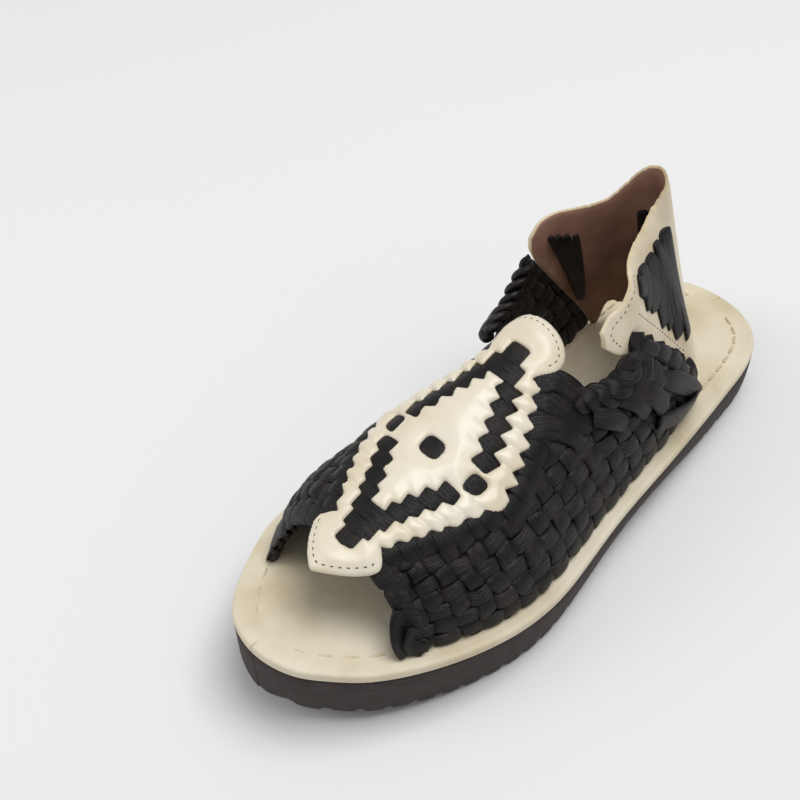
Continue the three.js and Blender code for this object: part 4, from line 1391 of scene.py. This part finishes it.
# Needle holes of the lock stitching: on both tabs of the plate and round the lobes of the strap
holeSizes = {"pitch": 2.9, "long": 1.1, "wide": 0.55, "deep": 0.3, "inset": 3.0}
strapSeams = [
    [(14.6, 0.93), (15.5, 0.92), (16.5, 0.9), (17.4, 0.82), (18.1, 0.66), (18.2, 0.45),
     (17.6, 0.2)],
    [(4.4, 0.93), (3.5, 0.92), (2.5, 0.9), (1.6, 0.82), (0.9, 0.66), (0.8, 0.45), (1.4, 0.2)],
    [(15.9, 0.66), (15.2, 0.56), (14.5, 0.48), (13.8, 0.4), (13.2, 0.33), (12.6, 0.2)],
    [(3.1, 0.66), (3.8, 0.56), (4.5, 0.48), (5.2, 0.4), (5.8, 0.33), (6.4, 0.2)],
]


# Dark slots along a line on a surface, every pitch
def holesAlong(bundle, points, outward):
    runs = runsOf(points)
    pitch = holeSizes["pitch"]
    half = holeSizes["long"] / 2
    for place in np.arange(pitch / 2, runs[-1], pitch):
        path = atRuns(runs, points, np.linspace(place - half, place + half, 4))
        up = unit(atRuns(runs, outward, [place]))
        flatCord(bundle, path, np.repeat(up, 4, 0), holeSizes["wide"], holeSizes["deep"],
                 threadAngles, 1.0)


# Line inside one end of the plate, a seam's inset from its edge
def tabSeam(low, high):
    side = plateSide()
    part = side[(side[:, 0] > low) & (side[:, 0] < high)]
    pair = [mirrored(part)[:-1], part] if low < 0 else [part[:-1], mirrored(part)]
    edge = np.vstack(pair)
    tangent = unit(np.gradient(edge, axis=0))
    inward = np.stack([-tangent[:, 1], tangent[:, 0]], -1)
    if ((edge.mean(0) - edge) * inward).sum() < 0:
        inward = -inward
    return edge + inward * holeSizes["inset"]


def addHoles():
    bundle = newBundle()
    for low, high in ((-99, 3.5), (99.5, 200)):
        line = tabSeam(low, high)
        top = shoe["plateHigh"] + puffAt(holeSizes["inset"]) - 0.05
        points, outward = onPlate(line[:, 0], line[:, 1], top)
        holesAlong(bundle, points, outward)
    for seam in strapSeams:
        u, v, _ = routeThrough([(*place, 0) for place in seam], 60).T
        points, outward = onSurface(strap, u, v, shoe["strapThick"] / 2)
        holesAlong(bundle, points + outward * strapDent(u, v)[:, None], outward)
    addBundle("needleHoles", bundle, needleShade)


addHoles()

# Plain studio: an even pale floor, a large soft lamp overhead and a weak one from the side
studio = {
    "floorHalf": 4.0, "floorLow": "ececec", "floorHigh": "efefef", "sky": "f8f8f8",
    "skyStrength": 0.41,
    "lamps": [
        {"name": "softBoxOver", "place": (-0.45, 0.25, 1.9), "size": 1.2, "power": 24.0},
        {"name": "softBoxSide", "place": (0.9, -0.7, 0.8), "size": 0.6, "power": 3.2},
    ],
}


def addFloor():
    size = studio["floorHalf"]
    mesh = bpy.data.meshes.new("studioFloor")
    corners = [(-size, -size, 0), (size, -size, 0), (size, size, 0), (-size, size, 0)]
    mesh.from_pydata(corners, [], [(0, 1, 2, 3)])
    floor = bpy.data.objects.new("studioFloor", mesh)
    bpy.context.scene.collection.objects.link(floor)
    material, tree, shader = newMaterial("paperMattPale")    # even and without a gleam
    position = node(tree, "ShaderNodeNewGeometry").outputs["Position"]
    tone = node(tree, "ShaderNodeTexNoise", {"Vector": position, "Scale": 1.5})
    shade = node(tree, "ShaderNodeValToRGB", {"Fac": tone.outputs["Fac"]}, [
        (0.0, studio["floorLow"]), (1.0, studio["floorHigh"])])
    feed(shader, {"Base Color": shade.outputs["Color"], "Roughness": 0.95})
    mesh.materials.append(material)


def addLamp(lamp):
    data = bpy.data.lights.new(lamp["name"], "AREA")
    data.size = lamp["size"]
    data.energy = lamp["power"]
    light = bpy.data.objects.new(lamp["name"], data)
    light.location = lamp["place"]
    light.rotation_euler = (-light.location).to_track_quat("-Z", "Y").to_euler()
    bpy.context.scene.collection.objects.link(light)


def addStudio():
    addFloor()
    world = bpy.data.worlds.new("studioSky")
    world.use_nodes = True
    feed(world.node_tree.nodes["Background"], {
        "Color": linear(studio["sky"]), "Strength": studio["skyStrength"]})
    bpy.context.scene.world = world
    bpy.context.scene.view_settings.view_transform = "Standard"
    for lamp in studio["lamps"]:
        addLamp(lamp)


addStudio()
